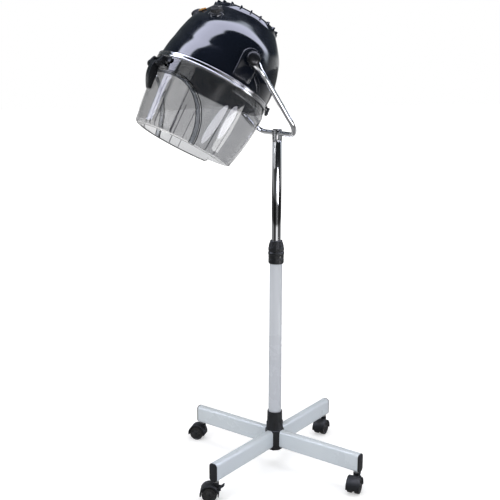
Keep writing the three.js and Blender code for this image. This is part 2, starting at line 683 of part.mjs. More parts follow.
const DOME_CURVE = new THREE.SplineCurve([
  new THREE.Vector2(RIM_RADIUS, RIM_Z),
  ...DOME_SHAPE.map(([wide, high]) => new THREE.Vector2(wide * RIM_RADIUS, high * CROWN_Z)),
  new THREE.Vector2(CROWN_RADIUS, CROWN_Z),
]);

// [radius, z] points along the dome, moved inwards square to its surface.
function domeProfile(inset, count) {
  const points = [];
  for (let i = 0; i <= count; i += 1) {
    const point = DOME_CURVE.getPoint(i / count);
    const along = DOME_CURVE.getTangent(i / count);
    points.push([point.x - inset * along.y, point.y + inset * along.x]);
  }
  return points;
}

// The axis of a dial: its foot on the casing and its outward direction.
function dialFrame(side) {
  const turn = degrees(side * DIAL_TURN);
  const lean = degrees(DIAL_LEAN);
  const outward = new THREE.Vector3(
    Math.sin(turn) * Math.sin(lean),
    -Math.cos(turn) * Math.sin(lean),
    Math.cos(lean),
  );
  const foot = new THREE.Vector3(Math.sin(turn) * DIAL_DISTANCE, -Math.cos(turn) * DIAL_DISTANCE, DIAL_Z);
  foot.y += HOOD_AXIS_FRONT;
  const turned = new THREE.Quaternion().setFromUnitVectors(new THREE.Vector3(0, 0, 1), outward);
  return new THREE.Matrix4().compose(foot, turned, new THREE.Vector3(1, 1, 1));
}

// A round-topped boss on the casing's side, with a pad that the yoke's eye bears on.
function pivotBoss(side) {
  const arch = new THREE.Shape();
  arch.moveTo(-BOSS_RADIUS, -BOSS_DROP);
  arch.lineTo(BOSS_RADIUS, -BOSS_DROP);
  arch.absarc(0, 0, BOSS_RADIUS, 0, Math.PI);
  const padFace = YOKE_HALF_WIDTH - EYE_THICKNESS / 2 - SEAT_GAP;
  const pad = pinAlongX(PAD_RADIUS, BOSS_FACE_X - 1, padFace, 0, 0);
  const boss = joined(slabAcrossX(arch, BOSS_ROOT_X, BOSS_FACE_X), pad);
  return boss.rotateZ(side > 0 ? 0 : Math.PI).translate(0, HOOD_AXIS_FRONT, 0);
}

function lampFrame() {
  const lean = degrees(DIAL_LEAN);
  const frontY = -domeRadiusAt(LAMP_Z) + HOOD_AXIS_FRONT;
  return new THREE.Matrix4().makeRotationX(lean).setPosition(0, frontY, LAMP_Z);
}

function domeRadiusAt(z) {
  const samples = DOME_CURVE.getPoints(200);
  return samples.find((point) => point.y >= z).x;
}

function casingGeometry() {
  const outer = domeProfile(0, 8);
  const inner = domeProfile(SHELL_WALL, 5).reverse();
  const lipZ = CROWN_Z - SHELL_WALL;
  const skirtBore = SKIRT_RADIUS - SHELL_WALL;
  const inside = inner.filter(([, z]) => z < lipZ && z > RIM_Z + 4);
  const profile = [
    [skirtBore, SKIRT_BOTTOM_Z],
    [SKIRT_RADIUS, SKIRT_BOTTOM_Z],
    [SKIRT_RADIUS, RIM_Z],
    ...outer,
    [CROWN_HOLE_RADIUS, CROWN_Z],
    [CROWN_HOLE_RADIUS, lipZ],
    [CROWN_RADIUS - SHELL_WALL, lipZ],
    ...inside,
    [skirtBore, RIM_Z + 2],
    [skirtBore, SKIRT_BOTTOM_Z],
  ];
  const shell = leanBack(turnedSolid(profile, HOOD_SIDES));
  const bosses = [-1, 1].map(pivotBoss);
  const dialBosses = [-1, 1].map((side) => {
    return disc(DIAL_BOSS_RADIUS, -DIAL_BOSS_DEPTH, DIAL_BOSS_RISE).applyMatrix4(dialFrame(side));
  });
  const glandY = domeRadiusAt(GLAND_Z) + HOOD_AXIS_FRONT;
  const gland = disc(GLAND_RADIUS, -GLAND_ROOT, GLAND_PROUD, SMALL_SIDES).rotateX(-Math.PI / 2);
  gland.translate(0, glandY, GLAND_Z);
  const boltHoles = [-1, 1].map((side) => {
    const hole = pinAlongX(BOLT_DIAMETER / 2 + SEAT_GAP, BOSS_ROOT_X - 1, YOKE_HALF_WIDTH, 0, 0);
    return hole.rotateZ(side > 0 ? 0 : Math.PI).translate(0, HOOD_AXIS_FRONT, 0);
  });
  const shaftHoles = [-1, 1].map((side) => {
    const bore = DIAL_SHAFT_DIAMETER / 2 + SEAT_GAP;
    const hole = disc(bore, -DIAL_SHAFT_LENGTH, DIAL_SHAFT_LENGTH, SMALL_SIDES);
    return hole.applyMatrix4(dialFrame(side));
  });
  const seatGap = 2 * SEAT_GAP;
  const window = new THREE.BoxGeometry(LAMP_WIDTH + seatGap, LAMP_LENGTH + seatGap, 4 * LAMP_HEIGHT);
  const glandBore = disc(GLAND_BORE_RADIUS, -2 * GLAND_ROOT, 2 * GLAND_PROUD, SMALL_SIDES);
  glandBore.rotateX(-Math.PI / 2);
  glandBore.translate(0, glandY, GLAND_Z);
  const body = joined(shell, ...bosses, ...dialBosses, gland);
  return cut(body, ...boltHoles, ...shaftHoles, window.applyMatrix4(lampFrame()), glandBore);
}

function topCapGeometry() {
  const seat = CROWN_Z + SEAT_GAP;
  const spigot = CROWN_HOLE_RADIUS - SEAT_GAP;
  const bore = spigot - SHELL_WALL;
  const foot = CROWN_Z - SHELL_WALL;
  const shell = turnedSolid([
    [bore, foot],
    [spigot, foot],
    [spigot, seat],
    [CROWN_RADIUS - 1, seat],
    [CAP_RIM_RADIUS, CAP_RIM_Z - 4],
    [CAP_RIM_RADIUS - 4, CAP_RIM_Z],
    [CAP_RIM_RADIUS / 2, CAP_TOP_Z - 1.5],
    [0, CAP_TOP_Z],
    [0, CAP_TOP_Z - SHELL_WALL],
    [CAP_RIM_RADIUS / 2, CAP_TOP_Z - 1.5 - SHELL_WALL],
    [bore, CAP_RIM_Z - SHELL_WALL],
    [bore, foot],
  ], HOOD_SIDES);
  const ribs = [];
  const slots = [];
  for (let i = 0; i < CAP_RIBS; i += 1) {
    const turn = (i * 2 * Math.PI) / CAP_RIBS;
    const height = CAP_RIM_Z - seat + CAP_RIB_RISE;
    const rib = new THREE.BoxGeometry(10, CAP_RIB_WIDTH, height);
    ribs.push(rib.translate(CAP_RIM_RADIUS - 5 + CAP_RIB_RISE, 0, seat + height / 2).rotateZ(turn));
    if (i % 4 === 0) {
      const slot = new THREE.BoxGeometry(CAP_SLOT_LENGTH, CAP_RIB_WIDTH, 2 * CAP_SLOT_DEPTH);
      slot.translate(CAP_SLOT_RADIUS, 0, CAP_TOP_Z);
      slots.push(slot.rotateZ(turn + Math.PI / CAP_RIBS));
    }
  }
  return cut(joined(shell, ...ribs), ...slots).translate(0, HOOD_AXIS_FRONT, 0);
}

function trimRingGeometry() {
  const inner = RIM_RADIUS + 2 * SEAT_GAP + 0.2;
  const top = RIM_Z;
  const bottom = top - RING_HEIGHT;
  return turnedSolid([
    [inner, bottom],
    [RING_RADIUS - 1, bottom],
    [RING_RADIUS, bottom + 1],
    [RING_RADIUS, bottom + 3.5],
    [RING_RADIUS - RING_GROOVE, bottom + 5],
    [RING_RADIUS - RING_GROOVE, top - 5],
    [RING_RADIUS, top - 3.5],
    [RING_RADIUS, top - 1],
    [RING_RADIUS - 1, top],
    [inner, top],
    [inner, bottom],
  ], HOOD_SIDES);
}

// ---------------------------------------------------------------- visor, flap and hinge
function visorShell() {
  const wall = VISOR_WALL;
  const cornerRadius = VISOR_BOTTOM_RADIUS - VISOR_CORNER;
  const corner = (reach) => [0.5, 1].map((share) => {
    const turn = (share * Math.PI) / 2;
    return [cornerRadius + reach * Math.cos(turn), VISOR_CORNER_Z - reach * Math.sin(turn)];
  });
  const lip = cornerRadius - VISOR_LIP;
  return turnedSolid([
    [lip, VISOR_BOTTOM_Z],
    ...corner(VISOR_CORNER).reverse(),
    [VISOR_BOTTOM_RADIUS, VISOR_CORNER_Z],
    [VISOR_TOP_RADIUS, VISOR_SHOULDER_Z],
    [VISOR_TOP_RADIUS, VISOR_TOP_Z],
    [VISOR_TOP_RADIUS - wall, VISOR_TOP_Z],
    [VISOR_TOP_RADIUS - wall, VISOR_SHOULDER_Z],
    [VISOR_BOTTOM_RADIUS - wall, VISOR_CORNER_Z],
    ...corner(VISOR_CORNER - wall),
    [lip, VISOR_BOTTOM_Z + wall],
    [lip, VISOR_BOTTOM_Z],
  ], HOOD_SIDES);
}

// The block of space behind the front arch, drawn in by an inset along its edge.
function archBlock(inset) {
  const spread = ARCH_SPREAD - THREE.MathUtils.radToDeg(inset / VISOR_BOTTOM_RADIUS);
  const steps = 10;
  const angles = [-spread];
  for (let i = 1 - steps; i < steps; i += 1) {
    const share = Math.sin((Math.abs(i) / steps) * (Math.PI / 2));
    const turn = ARCH_FLAT + share * (spread - ARCH_FLAT);
    angles.push(Math.sign(i) * turn);
  }
  angles.push(spread);
  return sweptWall(angles, (angle) => {
    const share = Math.max(0, (Math.abs(angle) - ARCH_FLAT) / (spread - ARCH_FLAT));
    const drop = Math.sqrt(1 - Math.min(1, share ** ARCH_SQUARENESS));
    const top = VISOR_BOTTOM_Z - inset + (ARCH_TOP_Z - VISOR_BOTTOM_Z) * drop;
    const bottom = VISOR_BOTTOM_Z - 15;
    return [[RING_RADIUS + 20, bottom], [RING_RADIUS + 20, top], [90, top], [90, bottom]];
  });
}

const visorGeometry = () => cut(visorShell(), archBlock(0));
const flapGeometry = () => common(visorShell(), archBlock(FLAP_GAP));

// The space that the visor and flap take up, with a small gap round it.
function visorEnvelope() {
  const gap = SEAT_GAP;
  return turnedSolid([
    [0, VISOR_CORNER_Z],
    [visorRadiusAt(VISOR_CORNER_Z) + gap, VISOR_CORNER_Z],
    [visorRadiusAt(VISOR_SHOULDER_Z) + gap, VISOR_SHOULDER_Z],
    [0, VISOR_SHOULDER_Z],
  ], 2 * HOOD_SIDES);
}

function hingePinHole() {
  const radius = HINGE_PIN_DIAMETER / 2 + SEAT_GAP;
  return pinAlongX(radius, -RING_RADIUS, RING_RADIUS, HINGE_Y, HINGE_Z);
}

function hingeBracketGeometry() {
  const low = BRACKET_TOP_Z - BRACKET_HEIGHT;
  const angles = [-3, -2, -1, 0, 1, 2, 3].map((i) => (i * BRACKET_SPREAD) / 3);
  const plate = sweptWall(angles, () => {
    const outer = visorRadiusAt(BRACKET_TOP_Z) + BRACKET_THICKNESS;
    return [[outer, low], [outer, BRACKET_TOP_Z], [outer - 10, BRACKET_TOP_Z], [outer - 10, low]];
  });
  const lugs = [-1, 1].map((side) => {
    const from = side > 0 ? KNUCKLE_HALF_WIDTH + 0.5 : -KNUCKLE_HALF_WIDTH - 0.5 - LUG_WIDTH;
    const round = pinAlongX(LUG_RADIUS, from, from + LUG_WIDTH, HINGE_Y, HINGE_Z);
    const rootHeight = BRACKET_TOP_Z - HINGE_Z + LUG_RADIUS - 2;
    const root = new THREE.BoxGeometry(LUG_WIDTH, 18, rootHeight);
    root.translate(from + LUG_WIDTH / 2, HINGE_Y + 9, BRACKET_TOP_Z - rootHeight / 2);
    return joined(round, root);
  });
  return cut(joined(plate, ...lugs), visorEnvelope(), hingePinHole());
}

function hingePinGeometry() {
  const end = KNUCKLE_HALF_WIDTH + 0.5 + LUG_WIDTH;
  return pinAlongX(HINGE_PIN_DIAMETER / 2, -end, end, HINGE_Y, HINGE_Z);
}

function flapHandleGeometry() {
  const knuckle = pinAlongX(KNUCKLE_RADIUS, -KNUCKLE_HALF_WIDTH, KNUCKLE_HALF_WIDTH, HINGE_Y, HINGE_Z);
  const fin = new THREE.Shape();
  const front = HINGE_Y - KNUCKLE_RADIUS;
  const bulge = HINGE_Y - HANDLE_BULGE;
  const tip = -visorRadiusAt(HANDLE_TIP_Z) - 2;
  fin.moveTo(front, HINGE_Z);
  fin.bezierCurveTo(bulge - 3, HINGE_Z - 18, bulge, HANDLE_TIP_Z + 22, tip, HANDLE_TIP_Z);
  fin.lineTo(tip + 8, HANDLE_TIP_Z);
  fin.lineTo(HINGE_Y + 12, ARCH_TOP_Z - 3);
  fin.lineTo(HINGE_Y, HINGE_Z);
  const grip = slabAcrossX(fin, -HANDLE_HALF_WIDTH, HANDLE_HALF_WIDTH, 8);
  return cut(joined(knuckle, grip), visorEnvelope(), hingePinHole());
}

// ---------------------------------------------------------------- pivots and controls
const KNOB_X = YOKE_HALF_WIDTH + EYE_THICKNESS / 2 + SEAT_GAP;

function pivotBoltGeometry() {
  const seat = BOSS_ROOT_X - SEAT_GAP;
  const end = KNOB_X + KNOB_HEIGHT - 4;
  const head = BOLT_HEAD_DIAMETER / 2;
  const shank = BOLT_DIAMETER / 2;
  const inner = seat - BOLT_HEAD;
  const profile = [[0, inner], [head, inner], [head, seat], [shank, seat], [shank, end], [0, end]];
  return turnedSolid(profile, SMALL_SIDES).rotateY(Math.PI / 2);
}

function pivotKnobGeometry() {
  const bore = BOLT_DIAMETER / 2 + SEAT_GAP;
  const end = KNOB_X + KNOB_HEIGHT;
  const boreEnd = end - 4 + SEAT_GAP;
  const profile = [[bore, KNOB_X], [KNOB_RADIUS - 1.5, KNOB_X], [KNOB_RADIUS, KNOB_X + 1.5]];
  for (let i = 0; i <= 3; i += 1) {
    const turn = (i / 3) * (Math.PI / 2);
    const rise = KNOB_HEIGHT - 5;
    profile.push([KNOB_RADIUS * Math.cos(turn), end - rise + rise * Math.sin(turn)]);
  }
  profile.push([0, boreEnd], [bore, boreEnd], [bore, KNOB_X]);
  return turnedSolid(profile).rotateY(Math.PI / 2);
}

function dialGeometry() {
  const seat = DIAL_BOSS_RISE + SEAT_GAP;
  const shaft = DIAL_SHAFT_DIAMETER / 2;
  const body = turnedSolid([
    [0, -DIAL_SHAFT_LENGTH],
    [shaft, -DIAL_SHAFT_LENGTH],
    [shaft, seat],
    [DIAL_RADIUS, seat],
    [DIAL_RADIUS - 0.5, seat + DIAL_HEIGHT - 2],
    [DIAL_RADIUS - 2.5, seat + DIAL_HEIGHT],
    [0, seat + DIAL_HEIGHT],
  ]);
  const grooves = [0, 1, 2, 3, 4, 5].map((i) => {
    const groove = new THREE.BoxGeometry(4, 3, 2 * DIAL_HEIGHT);
    groove.translate(DIAL_RADIUS + 0.8, 0, seat + DIAL_HEIGHT + 3);
    return groove.rotateZ((i * Math.PI) / 3 + Math.PI / 6);
  });
  return cut(body, ...grooves);
}

function switchGeometry() {
  const top = -DIAL_BOSS_DEPTH - SEAT_GAP;
  const body = disc(SWITCH_RADIUS, top - SWITCH_LENGTH, top, SMALL_SIDES);
  const bore = disc(DIAL_SHAFT_DIAMETER / 2 + SEAT_GAP, -DIAL_SHAFT_LENGTH - SEAT_GAP, 0, SMALL_SIDES);
  return cut(body, bore);
}

// ---------------------------------------------------------------- drive and air path
function bowlGeometry() {
  const rim = SKIRT_RADIUS - SHELL_WALL - SEAT_GAP;
  const foot = SKIRT_BOTTOM_Z;
  const wall = BOWL_WALL;
  const outer = [
    [rim, foot],
    [rim, foot + 3],
    [BOWL_RIM_RADIUS, foot + 4],
    [BOWL_WAIST_RADIUS, BOWL_WAIST_Z],
    [BOWL_BELLY_RADIUS, BOWL_BELLY_Z],
    [BOWL_SHOULDER_RADIUS, BOWL_SHOULDER_Z],
    [BOWL_FLAT_RADIUS, BOWL_TOP_Z],
    [0, BOWL_TOP_Z],
  ];
  const inner = [
    [0, BOWL_TOP_Z - wall],
    [BOWL_FLAT_RADIUS - 1, BOWL_TOP_Z - wall],
    [BOWL_SHOULDER_RADIUS - 0.8 * wall, BOWL_SHOULDER_Z - 0.8 * wall],
    [BOWL_BELLY_RADIUS - wall, BOWL_BELLY_Z - 0.4 * wall],
    [BOWL_WAIST_RADIUS - wall, BOWL_WAIST_Z],
    [BOWL_RIM_RADIUS - wall, foot],
  ];
  const shell = turnedSolid([...outer, ...inner, [rim, foot]], HOOD_SIDES);
  const holes = [];
  const aims = [
    [0.6 * BOWL_FLAT_RADIUS, BOWL_TOP_Z, 0],
    [(BOWL_FLAT_RADIUS + BOWL_SHOULDER_RADIUS) / 2, (BOWL_TOP_Z + BOWL_SHOULDER_Z) / 2, 25],
    [(BOWL_BELLY_RADIUS + BOWL_WAIST_RADIUS) / 2, (BOWL_BELLY_Z + BOWL_WAIST_Z) / 2, 75],
  ];
  const reach = 4 * wall;
  aims.forEach(([radius, z, lean], row) => {
    for (let i = 0; i < BOWL_HOLES_PER_RING; i += 1) {
      const hole = disc(BOWL_HOLE_RADIUS, -reach, reach, 6).rotateY(degrees(lean));
      const turn = ((i + 0.5 * row) * 2 * Math.PI) / BOWL_HOLES_PER_RING;
      holes.push(hole.translate(radius, 0, z).rotateZ(turn));
    }
  });
  return cut(shell, ...holes);
}

function heaterGeometry() {
  const low = BOWL_TOP_Z + SEAT_GAP;
  const high = low + HEATER_HEIGHT;
  const band = tube(HEATER_RADIUS, HEATER_RADIUS - HEATER_BAND, low, high);
  const cross = [0, 1, 2].map((i) => {
    const plate = new THREE.BoxGeometry(2 * HEATER_RADIUS - HEATER_BAND, 1.5, HEATER_HEIGHT);
    return plate.translate(0, 0, (low + high) / 2).rotateZ((i * Math.PI) / 3);
  });
  return joined(band, ...cross);
}

function fanGeometry() {
  const top = FAN_BOTTOM_Z + FAN_HEIGHT;
  const shaft = FAN_SHAFT_DIAMETER / 2;
  const body = turnedSolid([
    [0, FAN_BOTTOM_Z],
    [FAN_HUB_RADIUS, FAN_BOTTOM_Z],
    [FAN_HUB_RADIUS, top],
    [shaft, top],
    [shaft, MOTOR_BOTTOM_Z + 18],
    [0, MOTOR_BOTTOM_Z + 18],
  ], SMALL_SIDES);
  const blades = [];
  for (let i = 0; i < FAN_BLADES; i += 1) {
    const blade = new THREE.BoxGeometry(FAN_RADIUS - FAN_HUB_RADIUS + 2, 2, FAN_HEIGHT + 3);
    blade.rotateX(degrees(35));
    blade.translate((FAN_RADIUS + FAN_HUB_RADIUS) / 2 - 1, 0, FAN_BOTTOM_Z + FAN_HEIGHT / 2);
    blades.push(blade.rotateZ((i * 2 * Math.PI) / FAN_BLADES));
  }
  return joined(body, ...blades);
}

const BRACE_TOP_Z = CROWN_Z - SHELL_WALL - SEAT_GAP;

function motorGeometry() {
  const bore = FAN_SHAFT_DIAMETER / 2 + SEAT_GAP;
  const flangeLow = BRACE_TOP_Z + SEAT_GAP;
  const boreTop = MOTOR_BOTTOM_Z + 18 + SEAT_GAP;
  return turnedSolid([
    [0, boreTop],
    [bore, boreTop],
    [bore, MOTOR_BOTTOM_Z],
    [MOTOR_RADIUS, MOTOR_BOTTOM_Z],
    [MOTOR_RADIUS, flangeLow],
    [MOTOR_FLANGE_RADIUS, flangeLow],
    [MOTOR_FLANGE_RADIUS, flangeLow + 3],
    [MOTOR_RADIUS, flangeLow + 3],
    [MOTOR_RADIUS, MOTOR_TOP_Z - 4],
    [MOTOR_RADIUS - 5, MOTOR_TOP_Z],
    [0, MOTOR_TOP_Z],
  ]);
}

function motorBraceGeometry() {
  const low = BRACE_TOP_Z - BRACE_THICKNESS;
  const outer = CROWN_HOLE_RADIUS + 6;
  const rim = tube(outer, CROWN_HOLE_RADIUS - 6, low, BRACE_TOP_Z);
  const collar = tube(MOTOR_FLANGE_RADIUS, MOTOR_RADIUS + SEAT_GAP, low, BRACE_TOP_Z);
  const arms = [];
  for (let i = 0; i < BRACE_ARMS; i += 1) {
    const length = CROWN_HOLE_RADIUS - 4 - MOTOR_FLANGE_RADIUS + 4;
    const arm = new THREE.BoxGeometry(length, 12, BRACE_THICKNESS);
    arm.translate(MOTOR_FLANGE_RADIUS - 2 + length / 2, 0, low + BRACE_THICKNESS / 2);
    arms.push(arm.rotateZ((i * 2 * Math.PI) / BRACE_ARMS));
  }
  return joined(rim, collar, ...arms);
}

// ---------------------------------------------------------------- assembly
const dryer = new THREE.Group();
const stand = addGroup(dryer, 0, POLE_BACK, 0);

const base = addGroup(stand);
base.rotation.z = degrees(FIRST_LEG_TURN);
addPiece(base, 'hub', hubGeometry(), blackPlastic);
addPiece(base, 'hub_bolt', hubBoltGeometry(), steel);
const plugRadius = POLE_BORE - SEAT_GAP;
const plugBore = HUB_BOLT_DIAMETER / 2 + SEAT_GAP;
addPiece(base, 'pole_plug', tube(plugRadius, plugBore, POLE_FOOT_Z, POLE_FOOT_Z + PLUG_HEIGHT), steel);
addPiece(base, 'lower_pole', tube(POLE_RADIUS, POLE_BORE, POLE_FOOT_Z, POLE_TOP_Z), whitePaint);

// Name, the caster's own heading about its stem, and whether it has a brake.
const legs = [
  ['right', 283.7, true],
  ['rear', 186.7, false],
  ['left', 21.7, false],
  ['front', -55.3, true],
];
legs.forEach(([name, heading, braked], i) => {
  const arm = addGroup(base);
  arm.rotation.z = (i * Math.PI) / 2;
  addPiece(arm, `leg_${name}`, legGeometry(), whitePaint);
  addPiece(arm, `leg_cap_${name}`, legCapGeometry(), blackPlastic);
  addCaster(arm, name, heading, braked);
});

addPiece(stand, 'collar_body', collarBodyGeometry(), blackPlastic);
addPiece(stand, 'collar_nut', collarNutGeometry(), blackPlastic);
addPiece(stand, 'collet', colletGeometry(), blackPlastic);
addPiece(stand, 'mast_guide', mastGuideGeometry(), blackPlastic);
addPiece(stand, 'mast', tube(MAST_RADIUS, MAST_BORE, MAST_FOOT_Z, MAST_TOP_Z), chrome);
addPiece(stand, 'yoke_fork', yokeForkGeometry(), chrome);
addPiece(stand, 'yoke', yokeGeometry(), chrome);
const pinHalf = MAST_RADIUS - 0.5;
const forkPin = disc(FORK_PIN_DIAMETER / 2, -pinHalf, pinHalf, SMALL_SIDES).rotateX(Math.PI / 2);
addPiece(stand, 'fork_pin', forkPin.translate(0, 0, YOKE_BAR_Z), steel);

const pivots = addGroup(stand, 0, -PIVOT_FRONT, PIVOT_Z);
pivots.rotation.x = -degrees(HOOD_TILT);
['left', 'right'].forEach((side) => {
  const end = addGroup(pivots);
  end.rotation.z = side === 'left' ? Math.PI : 0;
  addPiece(end, `pivot_bolt_${side}`, pivotBoltGeometry(), steel);
  addPiece(end, `pivot_knob_${side}`, pivotKnobGeometry(), blackPlastic);
});

const hood = addGroup(pivots, 0, -HOOD_AXIS_FRONT, 0);
addPiece(hood, 'casing', casingGeometry(), glossBlack);
addPiece(hood, 'top_cap', topCapGeometry(), glossBlack);
addPiece(hood, 'trim_ring', trimRingGeometry(), chrome);
addPiece(hood, 'visor', visorGeometry(), smoked);
addPiece(hood, 'visor_flap', flapGeometry(), smoked);
addPiece(hood, 'hinge_bracket', hingeBracketGeometry(), blackPlastic);
addPiece(hood, 'hinge_pin', hingePinGeometry(), steel);
addPiece(hood, 'flap_handle', flapHandleGeometry(), blackPlastic);
addPiece(hood, 'timer_dial', dialGeometry().applyMatrix4(dialFrame(1)), blackPlastic);
addPiece(hood, 'heat_dial', dialGeometry().applyMatrix4(dialFrame(-1)), blackPlastic);
addPiece(hood, 'timer', switchGeometry().applyMatrix4(dialFrame(1)), steel);
addPiece(hood, 'heat_switch', switchGeometry().applyMatrix4(dialFrame(-1)), steel);
const lamp = new THREE.BoxGeometry(LAMP_WIDTH, LAMP_LENGTH, LAMP_HEIGHT);
addPiece(hood, 'lamp_lens', lamp.applyMatrix4(lampFrame()), amber);
addPiece(hood, 'air_bowl', bowlGeometry(), glossBlack);
addPiece(hood, 'heater', heaterGeometry(), mica);
addPiece(hood, 'fan', fanGeometry().translate(0, HOOD_AXIS_FRONT, 0), steel);
addPiece(hood, 'motor', motorGeometry().translate(0, HOOD_AXIS_FRONT, 0), steel);
addPiece(hood, 'motor_brace', motorBraceGeometry().translate(0, HOOD_AXIS_FRONT, 0), steel);

export default dryer;
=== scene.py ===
import json
from math import atan2, cos, pi, radians, sin, tau

import bmesh
import bpy
from mathutils import Matrix, Vector


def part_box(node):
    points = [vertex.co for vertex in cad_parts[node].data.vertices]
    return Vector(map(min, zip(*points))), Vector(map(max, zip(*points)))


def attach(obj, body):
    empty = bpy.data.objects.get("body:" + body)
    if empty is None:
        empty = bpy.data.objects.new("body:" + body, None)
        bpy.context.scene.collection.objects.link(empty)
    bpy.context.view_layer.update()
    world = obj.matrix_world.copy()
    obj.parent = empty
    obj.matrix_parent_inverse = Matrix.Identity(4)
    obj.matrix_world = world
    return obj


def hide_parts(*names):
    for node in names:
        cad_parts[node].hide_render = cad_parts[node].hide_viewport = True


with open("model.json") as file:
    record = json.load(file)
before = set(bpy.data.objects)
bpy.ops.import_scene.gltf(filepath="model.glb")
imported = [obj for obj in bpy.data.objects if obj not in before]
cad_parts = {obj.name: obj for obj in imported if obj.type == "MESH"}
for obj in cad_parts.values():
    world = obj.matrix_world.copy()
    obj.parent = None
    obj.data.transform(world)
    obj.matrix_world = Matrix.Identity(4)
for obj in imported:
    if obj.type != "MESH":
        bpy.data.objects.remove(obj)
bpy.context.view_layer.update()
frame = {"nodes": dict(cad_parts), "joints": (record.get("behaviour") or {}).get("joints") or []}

scene = bpy.context.scene

# ---- Studio
# The dryer stands on a white sweep in a plain studio: a large soft lamp high on the left, a
# weaker one on the right and one overhead. Shiny surfaces see a dark room in their place, with
# a lit arch, a window low down and two small windows close by.
scene.view_settings.view_transform = "Standard"

camera = bpy.data.objects.new("camera", bpy.data.cameras.new("camera"))
scene.collection.objects.link(camera)
scene.camera = camera
camera.data.sensor_width = 36
camera.data.lens = 58.3
heading, dip = radians(64.89), radians(11.68)
look = Vector((-sin(heading) * cos(dip), cos(heading) * cos(dip), -sin(dip)))
camera.matrix_world = (
    Matrix.Translation((1.8888, -0.9004, 1.050))
    @ look.to_track_quat("-Z", "Y").to_matrix().to_4x4()
    @ Matrix.Rotation(radians(0.12), 4, "Z")
)
to_camera = Vector((sin(heading), -cos(heading), 0))
to_right = Vector((cos(heading), sin(heading), 0))


def soft_lamp(name, place, aim, size, power, colour=(1, 1, 1), only_mirrored=False, roll=0.0):
    """An area lamp that shiny surfaces don't mirror, or one that is seen as a reflection only."""
    lamp = bpy.data.lights.new(name, "AREA")
    lamp.shape = "ELLIPSE" if only_mirrored else "RECTANGLE"
    lamp.size, lamp.size_y = size
    lamp.energy = power
    lamp.color = colour
    holder = bpy.data.objects.new(name, lamp)
    scene.collection.objects.link(holder)
    turn = (Vector(aim) - Vector(place)).to_track_quat("-Z", "Y").to_matrix().to_4x4()
    holder.matrix_world = Matrix.Translation(place) @ turn @ Matrix.Rotation(roll, 4, "Z")
    holder.visible_glossy = only_mirrored
    if only_mirrored:
        holder.visible_camera = holder.visible_diffuse = holder.visible_transmission = False
    return holder


middle = Vector((0, 0, 0.75))
left_place = middle + to_camera * 1.6 - to_right * 1.9 + Vector((0, 0, 1.3))
right_place = middle + to_camera * 0.9 + to_right * 2.2 + Vector((0, 0, 0.7))
soft_lamp("key_lamp", left_place, middle, (1.5, 1.5), 26)
soft_lamp("fill_lamp", right_place, middle, (1.0, 1.8), 16)
soft_lamp("top_lamp", (0, 0.1, 3.1), (0, 0, 0.5), (2.2, 2.2), 30)
DAYLIGHT = (0.9, 0.9, 1.0)
soft_lamp(
    "small_window", (0.593, -0.028, 0.842), (0.13, -0.18, 0.94), (0.235, 0.135), 0.62, DAYLIGHT,
    only_mirrored=True, roll=radians(14),
)
soft_lamp(
    "tall_window", (0.491, 0.157, 0.787), (0.132, -0.144, 0.950), (0.153, 0.149), 0.44, DAYLIGHT,
    only_mirrored=True, roll=radians(-19.0),
)

world = bpy.data.worlds.new("studio")
scene.world = world
world.use_nodes = True
sky = world.node_tree
sky.nodes.clear()


def wired(tree, kind, inputs=(), **settings):
    """A node with its settings made and its input sockets set or linked, keyed by name or number."""
    node = tree.nodes.new(kind)
    for name, value in settings.items():
        setattr(node, name, value)
    for key, value in dict(inputs).items():
        if isinstance(value, bpy.types.NodeSocket):
            tree.links.new(value, node.inputs[key])
        else:
            node.inputs[key].default_value = value
    return node


def stepped(tree, value, low, high, out_low=0.0, out_high=1.0):
    """A soft step of a value from out_low below low to out_high above high."""
    node = wired(tree, "ShaderNodeMapRange", interpolation_type="SMOOTHSTEP")
    tree.links.new(value, node.inputs["Value"])
    node.inputs["From Min"].default_value = low
    node.inputs["From Max"].default_value = high
    node.inputs["To Min"].default_value = out_low
    node.inputs["To Max"].default_value = out_high
    return node.outputs["Result"]


def maths(tree, operation, first, second=0.0):
    node = wired(tree, "ShaderNodeMath", {0: first, 1: second}, operation=operation)
    return node.outputs[0]


# What shiny surfaces see of the room, from the way they look: x to the camera's right, y towards
# the camera, z up. A lit arch stands over the dryer, the wall behind the camera is dark, and low
# down the room has a bright window right of the camera and a pale wall behind the dryer.
room = bpy.data.node_groups.new("studio_room", "ShaderNodeTree")
room.interface.new_socket("Way", in_out="INPUT", socket_type="NodeSocketVector")
room.interface.new_socket("Above", in_out="OUTPUT", socket_type="NodeSocketColor")
room.interface.new_socket("Low", in_out="OUTPUT", socket_type="NodeSocketFloat")
way = wired(room, "NodeGroupInput").outputs["Way"]
room_end = wired(room, "NodeGroupOutput")
parts = [
    wired(room, "ShaderNodeVectorMath", {0: way, 1: axis}, operation="DOT_PRODUCT").outputs["Value"]
    for axis in (to_right, to_camera, Vector((0, 0, 1)))
]
right, near, up = parts
inner = maths(room, "MULTIPLY", up, 0.60)
inner = maths(room, "SUBTRACT", inner, maths(room, "MULTIPLY", near, 0.80))
outer = maths(room, "MULTIPLY", up, 0.23)
outer = maths(room, "SUBTRACT", outer, maths(room, "MULTIPLY", near, 0.97))
inner, outer = stepped(room, inner, 0.16, 0.22), stepped(room, outer, 0.24, 0.34, 1.0, 0.0)
arch_light = maths(room, "MULTIPLY", inner, outer)
arch_light = maths(room, "MULTIPLY", arch_light, stepped(room, up, 0.02, 0.30))
behind = stepped(room, near, -0.8, 0.0, 0.09, 0.02)
above = maths(room, "ADD", behind, maths(room, "MULTIPLY", arch_light, 7.5))
tint = wired(room, "ShaderNodeMix", data_type="RGBA")
room.links.new(arch_light, tint.inputs["Factor"])
tint_colours = [socket for socket in tint.inputs if socket.type == "RGBA"]
tint_colours[0].default_value = (0.80, 0.92, 1.0, 1)
